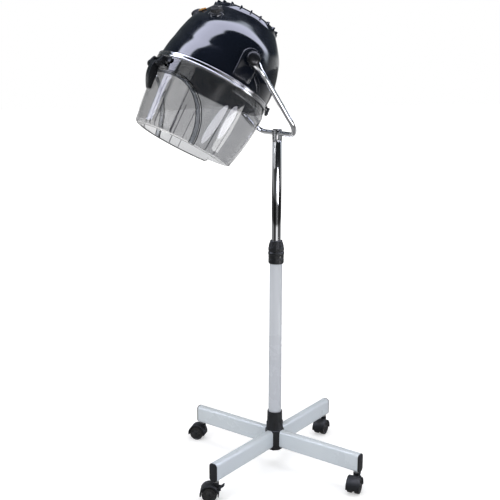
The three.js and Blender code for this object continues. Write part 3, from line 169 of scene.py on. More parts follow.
tint_colours[1].default_value = (0.78, 0.80, 1.0, 1)
scaled = wired(room, "ShaderNodeVectorMath", operation="SCALE")
room.links.new([socket for socket in tint.outputs if socket.type == "RGBA"][0], scaled.inputs[0])
room.links.new(above, scaled.inputs["Scale"])
bearing = maths(room, "ARCTAN2", right, near)
round_the_room = wired(
    room, "ShaderNodeMath", {0: bearing, 1: 1 / tau, 2: 0.5}, operation="MULTIPLY_ADD"
)
ramp = wired(room, "ShaderNodeValToRGB", {"Fac": round_the_room.outputs[0]})
stops = (
    (-180, 0.70), (-130, 0.40), (-104, 0.16), (-76, 0.24), (-62, 0.05), (-26, 0.03), (-10, 0.28),
    (4, 1.0), (24, 1.0), (36, 0.20), (58, 0.06), (92, 0.08), (118, 0.45), (140, 0.70), (180, 0.70),
)
while len(ramp.color_ramp.elements) < len(stops):
    ramp.color_ramp.elements.new(0.5)
for element, (angle, bright) in zip(ramp.color_ramp.elements, stops):
    element.position = angle / 360 + 0.5
for element, (angle, bright) in zip(ramp.color_ramp.elements, stops):
    element.color = (bright, bright, bright, 1)
skirting = wired(room, "ShaderNodeVectorMath", {0: ramp.outputs["Color"]}, operation="SCALE")
room.links.new(stepped(room, up, 0.02, 0.16, 1.0, 0.0), skirting.inputs["Scale"])
whole_room = wired(
    room, "ShaderNodeVectorMath", {0: scaled.outputs[0], 1: skirting.outputs[0]}, operation="ADD"
)
room.links.new(whole_room.outputs[0], room_end.inputs["Above"])
room.links.new(ramp.outputs["Color"], room_end.inputs["Low"])

ray = wired(sky, "ShaderNodeLightPath").outputs
way = wired(sky, "ShaderNodeTexCoord").outputs["Generated"]
seen_room = wired(sky, "ShaderNodeGroup", {"Way": way}, node_tree=room).outputs
clear = maths(sky, "MAXIMUM", ray["Is Camera Ray"], ray["Is Transmission Ray"])
white = wired(sky, "ShaderNodeBackground", {"Color": (1, 1, 1, 1), "Strength": 1.0})
soft = wired(sky, "ShaderNodeBackground", {"Color": (1, 1, 1, 1), "Strength": 0.42})
shine = wired(sky, "ShaderNodeBackground", {"Color": seen_room["Above"], "Strength": 1.0})
lit_by = wired(
    sky, "ShaderNodeMixShader", {0: ray["Is Glossy Ray"], 1: soft.outputs[0], 2: shine.outputs[0]}
)
all_rays = wired(sky, "ShaderNodeMixShader", {0: clear, 1: lit_by.outputs[0], 2: white.outputs[0]})
wired(sky, "ShaderNodeOutputWorld", {"Surface": all_rays.outputs[0]})

floor_shape = bmesh.new()
bmesh.ops.create_grid(floor_shape, x_segments=8, y_segments=8, size=30)
floor_mesh = bpy.data.meshes.new("floor")
floor_shape.to_mesh(floor_mesh)
floor_shape.free()
floor_object = bpy.data.objects.new("floor", floor_mesh)
scene.collection.objects.link(floor_object)
paper = bpy.data.materials.new("white_paper")
paper.use_nodes = True
floor_mesh.materials.append(paper)
tree = paper.node_tree
tree.nodes.clear()
ray = wired(tree, "ShaderNodeLightPath").outputs
place = wired(tree, "ShaderNodeTexCoord").outputs["Object"]
away = wired(tree, "ShaderNodeVectorMath", {0: place}, operation="LENGTH").outputs["Value"]
way = wired(tree, "ShaderNodeVectorMath", {0: place}, operation="NORMALIZE").outputs[0]
low_room = wired(tree, "ShaderNodeGroup", {"Way": way}, node_tree=room).outputs["Low"]
clear = maths(tree, "MAXIMUM", ray["Is Camera Ray"], ray["Is Transmission Ray"])
far = stepped(tree, away, 0.45, 1.5)
lit = wired(tree, "ShaderNodeBsdfDiffuse", {"Color": (0.88, 0.88, 0.89, 1)})
lifted_by = maths(tree, "ADD", 0.40, maths(tree, "MULTIPLY", far, 0.60))
lift = wired(tree, "ShaderNodeEmission", {"Strength": lifted_by})
lifted = wired(tree, "ShaderNodeAddShader", {0: lit.outputs[0], 1: lift.outputs[0]})
on_floor = wired(tree, "ShaderNodeMixShader", {0: clear, 1: lit.outputs[0], 2: lifted.outputs[0]})

# Mirrored, the floor shows the low part of the room, darker close by and far off, and a pane
# of light that a window throws on it.
bearing = [
    wired(tree, "ShaderNodeVectorMath", {0: way, 1: axis}, operation="DOT_PRODUCT").outputs["Value"]
    for axis in (to_right, to_camera)
]
bearing = maths(tree, "MULTIPLY", maths(tree, "ARCTAN2", *bearing), 180 / pi)
pane = stepped(tree, bearing, 54, 56)
pane = maths(tree, "MULTIPLY", pane, stepped(tree, bearing, 74, 77, 1.0, 0.0))
pane = maths(tree, "MULTIPLY", pane, stepped(tree, away, 2.8, 3.0, 1.0, 0.0))
pane = maths(tree, "MULTIPLY", pane, stepped(tree, away, 1.3, 1.5))
close_by = stepped(tree, away, 0.8, 1.6, 1.0, 0.0)
glow = maths(tree, "MULTIPLY", low_room, maths(tree, "SUBTRACT", 1.0, close_by))
glow = maths(tree, "ADD", glow, maths(tree, "MULTIPLY", close_by, 0.22))
glow = maths(tree, "ADD", glow, maths(tree, "MULTIPLY", pane, 7.0))
glow = maths(tree, "MULTIPLY", glow, stepped(tree, away, 4.6, 5.3, 1.0, 0.15))
room_glow = wired(tree, "ShaderNodeEmission", {"Strength": glow})
not_through = maths(tree, "SUBTRACT", 1.0, ray["Is Transmission Ray"])
mirrored = maths(tree, "MULTIPLY", ray["Is Glossy Ray"], not_through)
whole = wired(
    tree, "ShaderNodeMixShader", {0: mirrored, 1: on_floor.outputs[0], 2: room_glow.outputs[0]}
)
wired(tree, "ShaderNodeOutputMaterial", {"Surface": whole.outputs[0]})

# ---- Hub and its bolt
# The hub is one black moulding: a round socket for the pole above a square core, with four
# blocks that plug into the legs. A zinc-plated bolt from below draws the pole's plug down.
MM = 0.001


def effect(name, inputs, outputs):
    """An empty shader node group with named inputs (name, value) and outputs (name, socket type)."""
    group = bpy.data.node_groups.new(name, "ShaderNodeTree")
    for label, value in inputs:
        socket = group.interface.new_socket(label, in_out="INPUT", socket_type="NodeSocketFloat")
        socket.default_value = value
    for label, kind in outputs:
        group.interface.new_socket(label, in_out="OUTPUT", socket_type=kind)
    start = wired(group, "NodeGroupInput").outputs
    end = wired(group, "NodeGroupOutput")
    return group, start, end


# Rubbed edges: where the surface turns within a few tenths of a millimetre, broken up by noise.
worn_edges, given, result = effect(
    "worn_edges", [("Width", 0.0008), ("Patchiness", 55.0)], [("Mask", "NodeSocketFloat")]
)
round_normal = wired(worn_edges, "ShaderNodeBevel", {"Radius": given["Width"]}, samples=4)
true_normal = wired(worn_edges, "ShaderNodeNewGeometry").outputs["Normal"]
turned_away = wired(
    worn_edges,
    "ShaderNodeVectorMath",
    {0: round_normal.outputs[0], 1: true_normal},
    operation="DOT_PRODUCT",
)
place = wired(worn_edges, "ShaderNodeTexCoord").outputs["Object"]
patches = wired(
    worn_edges, "ShaderNodeTexNoise", {"Vector": place, "Scale": given["Patchiness"], "Detail": 4.0}
)
edge = stepped(worn_edges, turned_away.outputs["Value"], 0.80, 0.985, 1.0, 0.0)
broken = stepped(worn_edges, patches.outputs[0], 0.42, 0.62)
worn_edges.links.new(maths(worn_edges, "MULTIPLY", edge, broken), result.inputs["Mask"])

# Dust: thin on what faces up, in soft drifts.
settled_dust, given, result = effect(
    "settled_dust", [("Drift", 14.0), ("Cover", 0.5)], [("Mask", "NodeSocketFloat")]
)
place = wired(settled_dust, "ShaderNodeTexCoord").outputs["Object"]
drifts = wired(
    settled_dust,
    "ShaderNodeTexNoise",
    {"Vector": place, "Scale": given["Drift"], "Detail": 6.0, "Roughness": 0.65},
)
up = wired(settled_dust, "ShaderNodeSeparateXYZ")
settled_dust.links.new(wired(settled_dust, "ShaderNodeNewGeometry").outputs["Normal"], up.inputs[0])
facing_up = stepped(settled_dust, up.outputs["Z"], 0.35, 0.95)
drift = stepped(settled_dust, drifts.outputs[0], 0.4, 0.75)
lying = maths(settled_dust, "MULTIPLY", facing_up, drift)
lying = maths(settled_dust, "MULTIPLY", lying, given["Cover"])
settled_dust.links.new(lying, result.inputs["Mask"])

# Skin: the fine pebble of a mould or the orange peel of paint, with the marks of handling.
surface_skin, given, result = effect(
    "surface_skin",
    [("Pebble", 900.0), ("Smears", 9.0)],
    [("Height", "NodeSocketFloat"), ("Smear", "NodeSocketFloat"), ("Tone", "NodeSocketFloat")],
)
place = wired(surface_skin, "ShaderNodeTexCoord").outputs["Object"]
pebble = wired(
    surface_skin, "ShaderNodeTexNoise", {"Vector": place, "Scale": given["Pebble"], "Detail": 3.0}
)
smear = wired(
    surface_skin,
    "ShaderNodeTexNoise",
    {"Vector": place, "Scale": given["Smears"], "Detail": 8.0, "Roughness": 0.6, "Distortion": 0.4},
)
tone = wired(surface_skin, "ShaderNodeTexNoise", {"Vector": place, "Scale": 3.0, "Detail": 2.0})
surface_skin.links.new(pebble.outputs[0], result.inputs["Height"])
surface_skin.links.new(stepped(surface_skin, smear.outputs[0], 0.35, 0.7), result.inputs["Smear"])
surface_skin.links.new(tone.outputs[0], result.inputs["Tone"])


def placed_effect(tree, group, **values):
    node = wired(tree, "ShaderNodeGroup", node_tree=group)
    for name, value in values.items():
        node.inputs[name.capitalize()].default_value = value
    return node.outputs


def blended(tree, share, first, second):
    """A colour that goes from first to second as share goes from 0 to 1."""
    node = wired(tree, "ShaderNodeMix", data_type="RGBA")
    tree.links.new(share, node.inputs["Factor"])
    for key, value in (("A", first), ("B", second)):
        socket = [s for s in node.inputs if s.name == key and s.type == "RGBA"][0]
        if isinstance(value, bpy.types.NodeSocket):
            tree.links.new(value, socket)
        else:
            socket.default_value = (*value, 1)
    return [s for s in node.outputs if s.type == "RGBA"][0]


def new_finish(name, **constants):
    """A material and its Principled shader, with the shader's plain values set on its own sockets."""
    material = bpy.data.materials.new(name)
    material.use_nodes = True
    shader = material.node_tree.nodes["Principled BSDF"]
    for key, value in constants.items():
        shader.inputs[key.replace("_", " ")].default_value = value
    return material, material.node_tree, shader


def bumped(tree, shader, height, depth, distance=0.0004):
    bump = wired(tree, "ShaderNodeBump", {"Height": height, "Strength": depth, "Distance": distance})
    tree.links.new(bump.outputs[0], shader.inputs["Normal"])


def moulded_plastic(
    name, colour, worn, roughness, pebble=900.0, depth=0.25, dust=0.35, shine=0.5
):
    """A moulded plastic: pebbled skin, handled gloss, rubbed edges and a little dust."""
    material, tree, shader = new_finish(name, Specular_IOR_Level=shine)
    skin = placed_effect(tree, surface_skin, pebble=pebble)
    rubbed = placed_effect(tree, worn_edges)["Mask"]
    dusty = placed_effect(tree, settled_dust, cover=dust)["Mask"]
    shade = blended(tree, skin["Tone"], colour, tuple(c * 1.5 for c in colour))
    shade = blended(tree, maths(tree, "MULTIPLY", rubbed, 0.55), shade, worn)
    shade = blended(tree, dusty, shade, (0.20, 0.20, 0.19))
    tree.links.new(shade, shader.inputs["Base Color"])
    gloss = stepped(tree, skin["Smear"], 0.0, 1.0, roughness, roughness + 0.14)
    gloss = maths(tree, "ADD", gloss, maths(tree, "MULTIPLY", dusty, 0.3))
    tree.links.new(gloss, shader.inputs["Roughness"])
    bumped(tree, shader, skin["Height"], depth)
    return material


def eased(outline, radius, closed=False, steps=3):
    """An outline of (across, up) points with its corners rounded."""
    count = len(outline)
    rounded = []
    for i, point in enumerate(outline):
        corner = Vector(point)
        if not closed and i in (0, count - 1):
            rounded.append(corner)
            continue
        back = Vector(outline[i - 1]) - corner
        on = Vector(outline[(i + 1) % count]) - corner
        straight = abs(back.normalized().dot(on.normalized()) + 1) < 0.002
        if straight:
            rounded.append(corner)
            continue
        start = corner + back * min(radius / back.length, 0.45)
        end = corner + on * min(radius / on.length, 0.45)
        for step in range(steps + 1):
            t = step / steps
            rounded.append(start * (1 - t) ** 2 + corner * 2 * t * (1 - t) + end * t**2)
    return rounded


def turned(outline, sides=72, closed=False):
    """A round body about Z from a (radius, height) outline in millimetres."""
    shape = bmesh.new()
    points = [shape.verts.new((x * MM, 0, z * MM)) for x, z in outline]
    pairs = list(zip(points, points[1:])) + ([(points[-1], points[0])] if closed else [])
    lines = [shape.edges.new(pair) for pair in pairs]
    bmesh.ops.spin(
        shape, geom=points + lines, cent=(0, 0, 0), axis=(0, 0, 1), angle=tau, steps=sides,
        use_merge=True,
    )
    bmesh.ops.remove_doubles(shape, verts=shape.verts, dist=1e-6)
    bmesh.ops.recalc_face_normals(shape, faces=shape.faces)
    return shape


def rounded_edges(shape, edges, ease, segments, clamped=False):
    """The edges rounded by ease in millimetres, held back where two would meet if clamped."""
    bmesh.ops.bevel(
        shape, geom=edges, offset=ease * MM, segments=segments, profile=0.5, affect="EDGES",
        material=-1, clamp_overlap=clamped,
    )


def plate(outline, thickness, ease=0.6, segments=2):
    """A flat body in XY from an outline in millimetres, thickened upwards, its rims rounded."""
    shape = bmesh.new()
    face = shape.faces.new([shape.verts.new((x * MM, y * MM, 0)) for x, y in outline])
    raised = bmesh.ops.extrude_face_region(shape, geom=[face])["geom"]
    up = [v for v in raised if isinstance(v, bmesh.types.BMVert)]
    bmesh.ops.translate(shape, verts=up, vec=(0, 0, thickness * MM))
    bmesh.ops.recalc_face_normals(shape, faces=shape.faces)
    if ease:
        sharp = [e for e in shape.edges if e.calc_face_angle(0) > 1.2]
        rims = [e for e in sharp if abs(e.verts[0].co.z - e.verts[1].co.z) < 1e-7]
        rounded_edges(shape, rims, ease, segments, clamped=True)
    return shape


def block(size, ease=0.8, segments=3):
    """A block about the origin with rounded edges, in millimetres."""
    shape = bmesh.new()
    bmesh.ops.create_cube(shape, size=1)
    bmesh.ops.scale(shape, vec=Vector(size) * MM, verts=shape.verts)
    rounded_edges(shape, shape.edges[:], ease, segments)
    return shape


def at(shape, *moves):
    """The shape after the moves, the last one first, as matrices multiply."""
    whole = Matrix.Identity(4)
    for move in moves:
        whole = whole @ move
    bmesh.ops.transform(shape, matrix=whole, verts=shape.verts)
    return shape


def shift(x=0.0, y=0.0, z=0.0):
    return Matrix.Translation((x * MM, y * MM, z * MM))


def turn(degrees, axis):
    return Matrix.Rotation(radians(degrees), 4, axis)


def together(*shapes):
    """Several shapes as one mesh."""
    whole = bmesh.new()
    for shape in shapes:
        mesh = bpy.data.meshes.new("joining")
        shape.to_mesh(mesh)
        shape.free()
        whole.from_mesh(mesh)
        bpy.data.meshes.remove(mesh)
    return whole


def carved(shape, cutter, operation="DIFFERENCE"):
    """The shape with the cutter taken away, as a milling tool or a core in the mould would."""
    pair = []
    for part in (shape, cutter):
        mesh = bpy.data.meshes.new("carving")
        part.to_mesh(mesh)
        part.free()
        pair.append(bpy.data.objects.new("carving", mesh))
        scene.collection.objects.link(pair[-1])
    tool = pair[0].modifiers.new("carve", "BOOLEAN")
    tool.object = pair[1]
    tool.operation = operation
    tool.solver = "EXACT"
    done = pair[0].evaluated_get(bpy.context.evaluated_depsgraph_get())
    result = bmesh.new()
    result.from_mesh(done.to_mesh())
    done.to_mesh_clear()
    for part in pair:
        mesh = part.data
        bpy.data.objects.remove(part)
        bpy.data.meshes.remove(mesh)
    bmesh.ops.remove_doubles(result, verts=result.verts, dist=1e-7)
    return result


def each_carved(shapes, *cutters):
    """Shapes that run into one another, each carved by one cutter after another, then joined."""
    done = []
    for shape in shapes:
        for cutter in cutters:
            shape = carved(shape, cutter.copy())
        done.append(shape)
    for cutter in cutters:
        cutter.free()
    return together(*done)


def piece(name, shape, material, body, slot, *stands_for, sharp=34):
    """A finished piece, smooth with crisp edges, on its body, with the solids it stands for."""
    for face in shape.faces:
        face.smooth = True
    for edge in shape.edges:
        edge.smooth = not (edge.is_manifold and edge.calc_face_angle(0) > radians(sharp))
    mesh = bpy.data.meshes.new(name)
    shape.to_mesh(mesh)
    shape.free()
    mesh.materials.append(material)
    made = bpy.data.objects.new(name, mesh)
    scene.collection.objects.link(made)
    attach(made, body)
    if stands_for:
        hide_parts(*stands_for)
    return made


def dress(node, material):
    """Gives a carried-over solid its finish."""
    slots = frame["nodes"][node].data.materials
    slots.clear()
    slots.append(material)


low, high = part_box("lower_pole")
stand = Matrix.Translation(((low.x + high.x) / 2, (low.y + high.y) / 2, 0))
FIRST_LEG = 28.3  # degrees from +X to the right leg
LEG_HEIGHT = 79  # the legs' middle line, in millimetres above the floor
LEG_BORE = (46.4, 20.4, 7.5)  # width, height and corner of what plugs into a leg
black_moulding = moulded_plastic("black_moulding", (0.013, 0.014, 0.016), (0.09, 0.09, 0.095), 0.36)


def rounded_rect(width, height, corner, steps=5):
    """The outline of a rectangle about the origin with round corners."""
    outline = []
    for i, (x, y) in enumerate([(1, 1), (-1, 1), (-1, -1), (1, -1)]):
        for step in range(steps + 1):
            angle = (i + step / steps) * pi / 2
            across = x * (width / 2 - corner) + corner * cos(angle)
            outline.append((across, y * (height / 2 - corner) + corner * sin(angle)))
    return outline


hub_outline = [
    (17.8, 64), (17.8, 157), (20.6, 157), (21.2, 126), (23.5, 110), (23.5, 96), (19, 92), (19, 64),
]
hub_round = turned(eased(hub_outline, 1.6, closed=True), closed=True)
core = [(24, 12), (12, 24), (-12, 24), (-24, 12), (-24, -12), (-12, -24), (12, -24), (24, -12)]
hub_core = at(plate(eased(core, 2, closed=True), 57, ease=2.2, segments=3), shift(z=47))
pole_socket = turned([(0, 63.7), (17.8, 63.7), (17.8, 120), (0, 120)], sides=48)
bolt_hole = turned([(0, 40), (7.5, 40), (7.5, 52.8), (4.3, 52.8), (4.3, 70), (0, 70)], sides=48)
hub_core = each_carved([hub_core], pole_socket, bolt_hole)
plugs = []
for i in range(4):
    plug = plate(rounded_rect(*LEG_BORE), 37)
    plugs.append(at(plug, turn(90 * i, "Z"), shift(x=23, z=LEG_HEIGHT), turn(90, "Y")))
hub_ribs = [
    at(block((2.4, 3, 30), 0.9), turn(90 * i + 45, "Z"), shift(x=22.2, z=112)) for i in range(4)
]
hub_shape = at(together(hub_round, hub_core, *plugs, *hub_ribs), stand, turn(FIRST_LEG, "Z"))
piece("hub_moulding", hub_shape, black_moulding, "base", "black_plastic", "hub")

zinc, tree, shader = new_finish("zinc_plate", Metallic=1.0)
skin = placed_effect(tree, surface_skin, pebble=1500.0, smears=60.0)
rubbed = placed_effect(tree, worn_edges, width=0.0004)["Mask"]
shade = blended(tree, skin["Smear"], (0.50, 0.51, 0.53), (0.66, 0.66, 0.64))
tree.links.new(blended(tree, rubbed, shade, (0.80, 0.80, 0.80)), shader.inputs["Base Color"])
tree.links.new(stepped(tree, skin["Smear"], 0, 1, 0.24, 0.42), shader.inputs["Roughness"])
bumped(tree, shader, skin["Height"], 0.15)
for node in ("hub_bolt", "pole_plug"):
    dress(node, zinc)

# ---- Lower pole
# A straight 34.9 mm steel tube, powder-coated in a cool white, that stands in the hub's socket.
# Its top end disappears into the black height collar.
def enamel(name, colour, shadow, roughness=0.26):
    """Powder coat: orange peel, faint clouds in the colour, grey rubs on the edges and dust."""
    material, tree, shader = new_finish(name, Coat_Weight=0.25, Coat_Roughness=0.12)
    skin = placed_effect(tree, surface_skin, pebble=520.0, smears=7.0)
    rubbed = placed_effect(tree, worn_edges, width=0.0007, patchiness=120.0)["Mask"]
    dusty = placed_effect(tree, settled_dust, cover=0.25)["Mask"]
    shade = blended(tree, stepped(tree, skin["Tone"], 0.35, 0.65), colour, shadow)
    shade = blended(tree, maths(tree, "MULTIPLY", rubbed, 0.5), shade, (0.42, 0.43, 0.45))
    shade = blended(tree, dusty, shade, (0.60, 0.59, 0.57))
    tree.links.new(shade, shader.inputs["Base Color"])
    gloss = stepped(tree, skin["Smear"], 0, 1, roughness, roughness + 0.12)
    tree.links.new(gloss, shader.inputs["Roughness"])
    bumped(tree, shader, skin["Height"], 0.22)
    return material


pole_enamel = enamel("pole_enamel", (0.66, 0.69, 0.74), (0.62, 0.65, 0.72))
pole_outline = [(17.45, 64), (17.45, 608), (15.95, 608), (15.95, 64)]
pole_tube = turned(eased(pole_outline, 0.5, closed=True, steps=2), 96, closed=True)
piece("lower_pole_tube", at(pole_tube, stand), pole_enamel, "base", "white_paint", "lower_pole")

# ---- Legs and their end caps
# Four lengths of 24 x 50 mm rounded tube in the same powder coat, pushed over the hub's blocks.
# A black moulded cap closes each end and holds the socket for the caster's stem.
# The legs' copy of the powder coat is coloured lighter than the pole's, as painted light on the legs.
leg_enamel_painted_light = enamel("leg_enamel_painted_light", (0.73, 0.79, 0.84), (0.68, 0.74, 0.81))
LEG_NAMES = ("right", "rear", "left", "front")
LEG_TUBE = (50, 24, 9)  # width, height and corner
LEG_END = 271  # from the pole's axis to the end of the tube
arms = {name: stand @ turn(FIRST_LEG + 90 * i, "Z") for i, name in enumerate(LEG_NAMES)}
for name, arm in arms.items():
    tube = plate(rounded_rect(*LEG_TUBE, steps=8), 246.4, ease=0)
    ends = [face for face in tube.faces if len(face.verts) > 4]
    rings = bmesh.ops.inset_region(tube, faces=ends, thickness=1.5 * MM, use_even_offset=True)
    bmesh.ops.delete(tube, geom=ends, context="FACES")
    holes = sorted((e for e in tube.edges if e.is_boundary), key=lambda e: e.verts[0].co.z)
    bmesh.ops.bridge_loops(tube, edges=holes)
    bmesh.ops.recalc_face_normals(tube, faces=tube.faces)
    rims = [e for e in tube.edges if e.is_manifold and 1.3 < e.calc_face_angle(0) < 1.8]
    rounded_edges(tube, rims, 0.55, 2)
    at(tube, arm, shift(x=24.3, z=LEG_HEIGHT), turn(90, "Y"))
    piece(f"leg_tube_{name}", tube, leg_enamel_painted_light, "base", "white_paint", f"leg_{name}")

    cap = plate(rounded_rect(*LEG_TUBE, steps=8), 3, ease=1.1, segments=3)
    cap = at(cap, shift(x=LEG_END, z=LEG_HEIGHT), turn(90, "Y"))
    web = at(plate(rounded_rect(*LEG_BORE), 24), shift(x=248, z=LEG_HEIGHT), turn(90, "Y"))
    dimple = turned(eased([(0, 2.6), (4, 2.6), (5.4, 3.3), (6.6, 2.6)], 0.5), 32)
    dimple = at(dimple, shift(x=LEG_END, z=LEG_HEIGHT), turn(90, "Y"))
    cap = at(together(cap, web, dimple), arm)
    piece(f"leg_end_cap_{name}", cap, black_moulding, "base", "black_plastic", f"leg_cap_{name}")

# ---- Casters
# Twin-wheel furniture casters in black nylon: a steel stem with a flange pushed into the cap's
# socket, a housing with a fender over two wheels, and a foot brake on the right and front ones.
nylon = moulded_plastic(
    "caster_nylon", (0.013, 0.014, 0.016), (0.09, 0.09, 0.095), 0.42,
    pebble=700.0, dust=0.3, shine=0.3,
)

tread, tree, shader = new_finish("wheel_tread")
skin = placed_effect(tree, surface_skin, pebble=1200.0, smears=45.0)
rubbed = placed_effect(tree, worn_edges, width=0.0009, patchiness=200.0)["Mask"]
shade = blended(tree, skin["Smear"], (0.014, 0.014, 0.015), (0.040, 0.039, 0.037))
shade = blended(tree, maths(tree, "MULTIPLY", rubbed, 0.6), shade, (0.12, 0.115, 0.11))
tree.links.new(shade, shader.inputs["Base Color"])
tree.links.new(stepped(tree, skin["Smear"], 0, 1, 0.42, 0.72), shader.inputs["Roughness"])
bumped(tree, shader, skin["Height"], 0.4)

origin_of = {joint["name"]: Vector(joint["pos_m"]) for joint in frame["joints"] if "pos_m" in joint}
WHEEL_RADIUS, TRAIL, WHEEL_HALF = 20, 16, 6.5


def arc(radius, start, stop, steps=28):
    """Points on a circle about the origin from one angle to another, in degrees."""
    angles = [radians(start + (stop - start) * i / steps) for i in range(steps + 1)]
    return [(radius * cos(a), radius * sin(a)) for a in angles]


for name in LEG_NAMES:
    stem_place = origin_of[f"caster_{name}_swivel"]
    axle_place = origin_of[f"wheel_{name}_a_roll"]
    trail = Vector((axle_place.x - stem_place.x, axle_place.y - stem_place.y, 0)).normalized()
    swivelled = trail.to_track_quat("X", "Z").to_matrix().to_4x4()
    caster = Matrix.Translation((stem_place.x, stem_place.y, 0)) @ swivelled
    wheels = caster @ shift(x=TRAIL, z=WHEEL_RADIUS)

    stem_outline = [
        (0, 39.6), (3.4, 39.6), (4, 40.4), (4, 50.3), (7.5, 50.3), (7.5, 53.7), (4, 53.7), (4, 91),
        (3.2, 92), (0, 92),
    ]
    stem = turned(eased(stem_outline, 0.35), 40)
    piece(f"caster_pin_{name}", at(stem, caster), zinc, "base", "steel", f"caster_stem_{name}")

    band = arc(24.8, -11, 191) + arc(21.6, 191, -11)
    fender = at(plate(band, 36, ease=0.9), wheels, turn(90, "X"), shift(z=-18))
    centre_web = plate(arc(23.8, 0, 180) + arc(6, 180, 360, 14), 6, ease=0.6)
    centre_web = at(centre_web, wheels, turn(90, "X"), shift(z=-3))
    axle = at(turned(eased([(0, -17), (3, -17), (3, 17), (0, 17)], 0.6), 32), wheels, turn(90, "X"))
    neck = turned(eased([(0, 41.4), (8, 41.4), (8, 50), (4.3, 50), (4.3, 41.5), (0, 41.5)], 0.8), 48)
    throat = [(-8, 30), (3, 34), (6, 44), (-8, 46)]
    neck_web = plate(eased(throat, 1.5, closed=True), 12, ease=1.2, segments=3)
    neck_web = at(neck_web, caster, turn(90, "X"), shift(z=-6))
    wheel_space = turned([(0, -40), (21.6, -40), (21.6, 40), (0, 40)], 64)
    wheel_space = at(wheel_space, wheels, turn(90, "X"))
    neck = each_carved([at(neck, caster), neck_web], wheel_space)
    parts = [fender, centre_web, axle, neck]
    braked = name in ("right", "front")
    if braked:
        ear_outline = [(-13.5, 29.6), (-13.5, 36), (-11, 37.2), (-3, 36.5), (0.5, 32), (-4, 29.6)]
        for side in (-1, 1):
            ear = plate(eased(ear_outline, 1.2, closed=True), 3)
            parts.append(at(ear, caster, turn(90, "X"), shift(z=side * 8.8 - 1.5)))
    node = f"caster_housing_{name}"
    piece(f"caster_fork_{name}", together(*parts), nylon, f"caster_{name}", "black_plastic", node)

    for letter, side in (("a", -1), ("b", 1)):
        half = WHEEL_HALF
        disc = [
            (3.3, -half + 0.4), (17, -half + 0.4), (18.6, -half), (19.95, -half + 1.2),
            (19.95, half - 1.6), (18.4, half), (16.2, half), (15.4, half - 1.5), (8.2, half - 2.3),
            (7.2, half - 0.3), (3.3, half - 0.3),
        ]
        wheel = turned(eased(disc, 0.7, closed=True), 96, closed=True)
        spokes = [
            at(block((7.6, 1.5, 1.6), 0.5), turn(60 * i, "Z"), shift(x=11.6, z=half - 1.7))
            for i in range(6)
        ]
        wheel = at(together(wheel, *spokes), wheels, shift(y=side * 10), turn(-90 * side, "X"))
        which = f"{name}_{letter}"
        node = f"caster_wheel_{which}"
        piece(f"caster_disc_{which}", wheel, tread, f"wheel_{which}", "wheel_rubber", node)

    if braked:
        hinge = caster @ shift(x=-11, z=34)
        barrel = turned(eased([(0, -7), (2.5, -7), (2.5, 7), (0, 7)], 0.4), 32)
        barrel = at(barrel, hinge, turn(90, "X"))
        sole = [(1, -1.5), (-12.5, -1.5), (-15, -0.6), (-15, 1.5), (1, 1.5)]
        pedal = plate(eased(sole, 0.8, closed=True), 14, ease=1.0, segments=3)
        pedal = at(pedal, hinge, turn(40, "Y"), turn(90, "X"), shift(z=-7))
        grips = [
            at(block((0.9, 11, 0.9), 0.3), hinge, turn(40, "Y"), shift(x=-4 - 2.6 * i, z=1.4))
            for i in range(4)
        ]
        pedal = together(barrel, pedal, *grips)
        node = f"brake_lever_{name}"
        piece(f"brake_pedal_{name}", pedal, nylon, f"brake_lever_{name}", "black_plastic", node)

# ---- Height collar
# Two black mouldings on the pole's top end: a body with a raised bead, and a clamping nut with
# fine ribs that narrows to the mast. The nut squeezes a split collet, hidden inside.
collar_black = moulded_plastic(
    "collar_moulding", (0.012, 0.013, 0.015), (0.10, 0.10, 0.105), 0.30, pebble=1100.0
)
collar_outline = [
    (17.75, 576.5), (19.4, 576.5), (21, 579), (21, 589), (20.5, 590), (20.5, 591.2), (21, 592.2),
    (21, 600), (22, 602.4), (22, 606.4), (20.6, 608.6), (20.4, 610.6), (16.8, 610.6), (16.8, 622),
    (15.2, 622), (15.2, 608.3), (17.75, 608.3),
]
collar = turned(eased(collar_outline, 0.6, closed=True), 96, closed=True)
piece("collar_shell", at(collar, stand), collar_black, "base", "black_plastic", "collar_body")

nut_outline = [
    (17.1, 610.9), (20.6, 610.9), (21, 611.8), (21, 619.4), (20.4, 621), (16.9, 634.6),
    (16.9, 637.4), (15.6, 639.5), (13, 639.5), (13, 630.3), (15.4, 630.3), (15.4, 622.3),
    (17.1, 622.3),
]
nut = turned(eased(nut_outline, 0.6, closed=True), 96, closed=True)
nut_ribs = [
    at(block((1.5, 1.7, 8.4), 0.55), turn(15 * i, "Z"), shift(x=20.55, z=615.4)) for i in range(24)
]
nut_ribs += [
    at(block((1.2, 1.3, 11), 0.5), turn(15 * i, "Z"), shift(x=18.75, z=627.8), turn(-14.5, "Y"))
    for i in range(24)
]
nut = at(together(nut, *nut_ribs), stand)
piece("collar_clamp_nut", nut, collar_black, "collar_nut", "black_plastic", "collar_nut")
for node in ("collet", "mast_guide"):
    dress(node, collar_black)

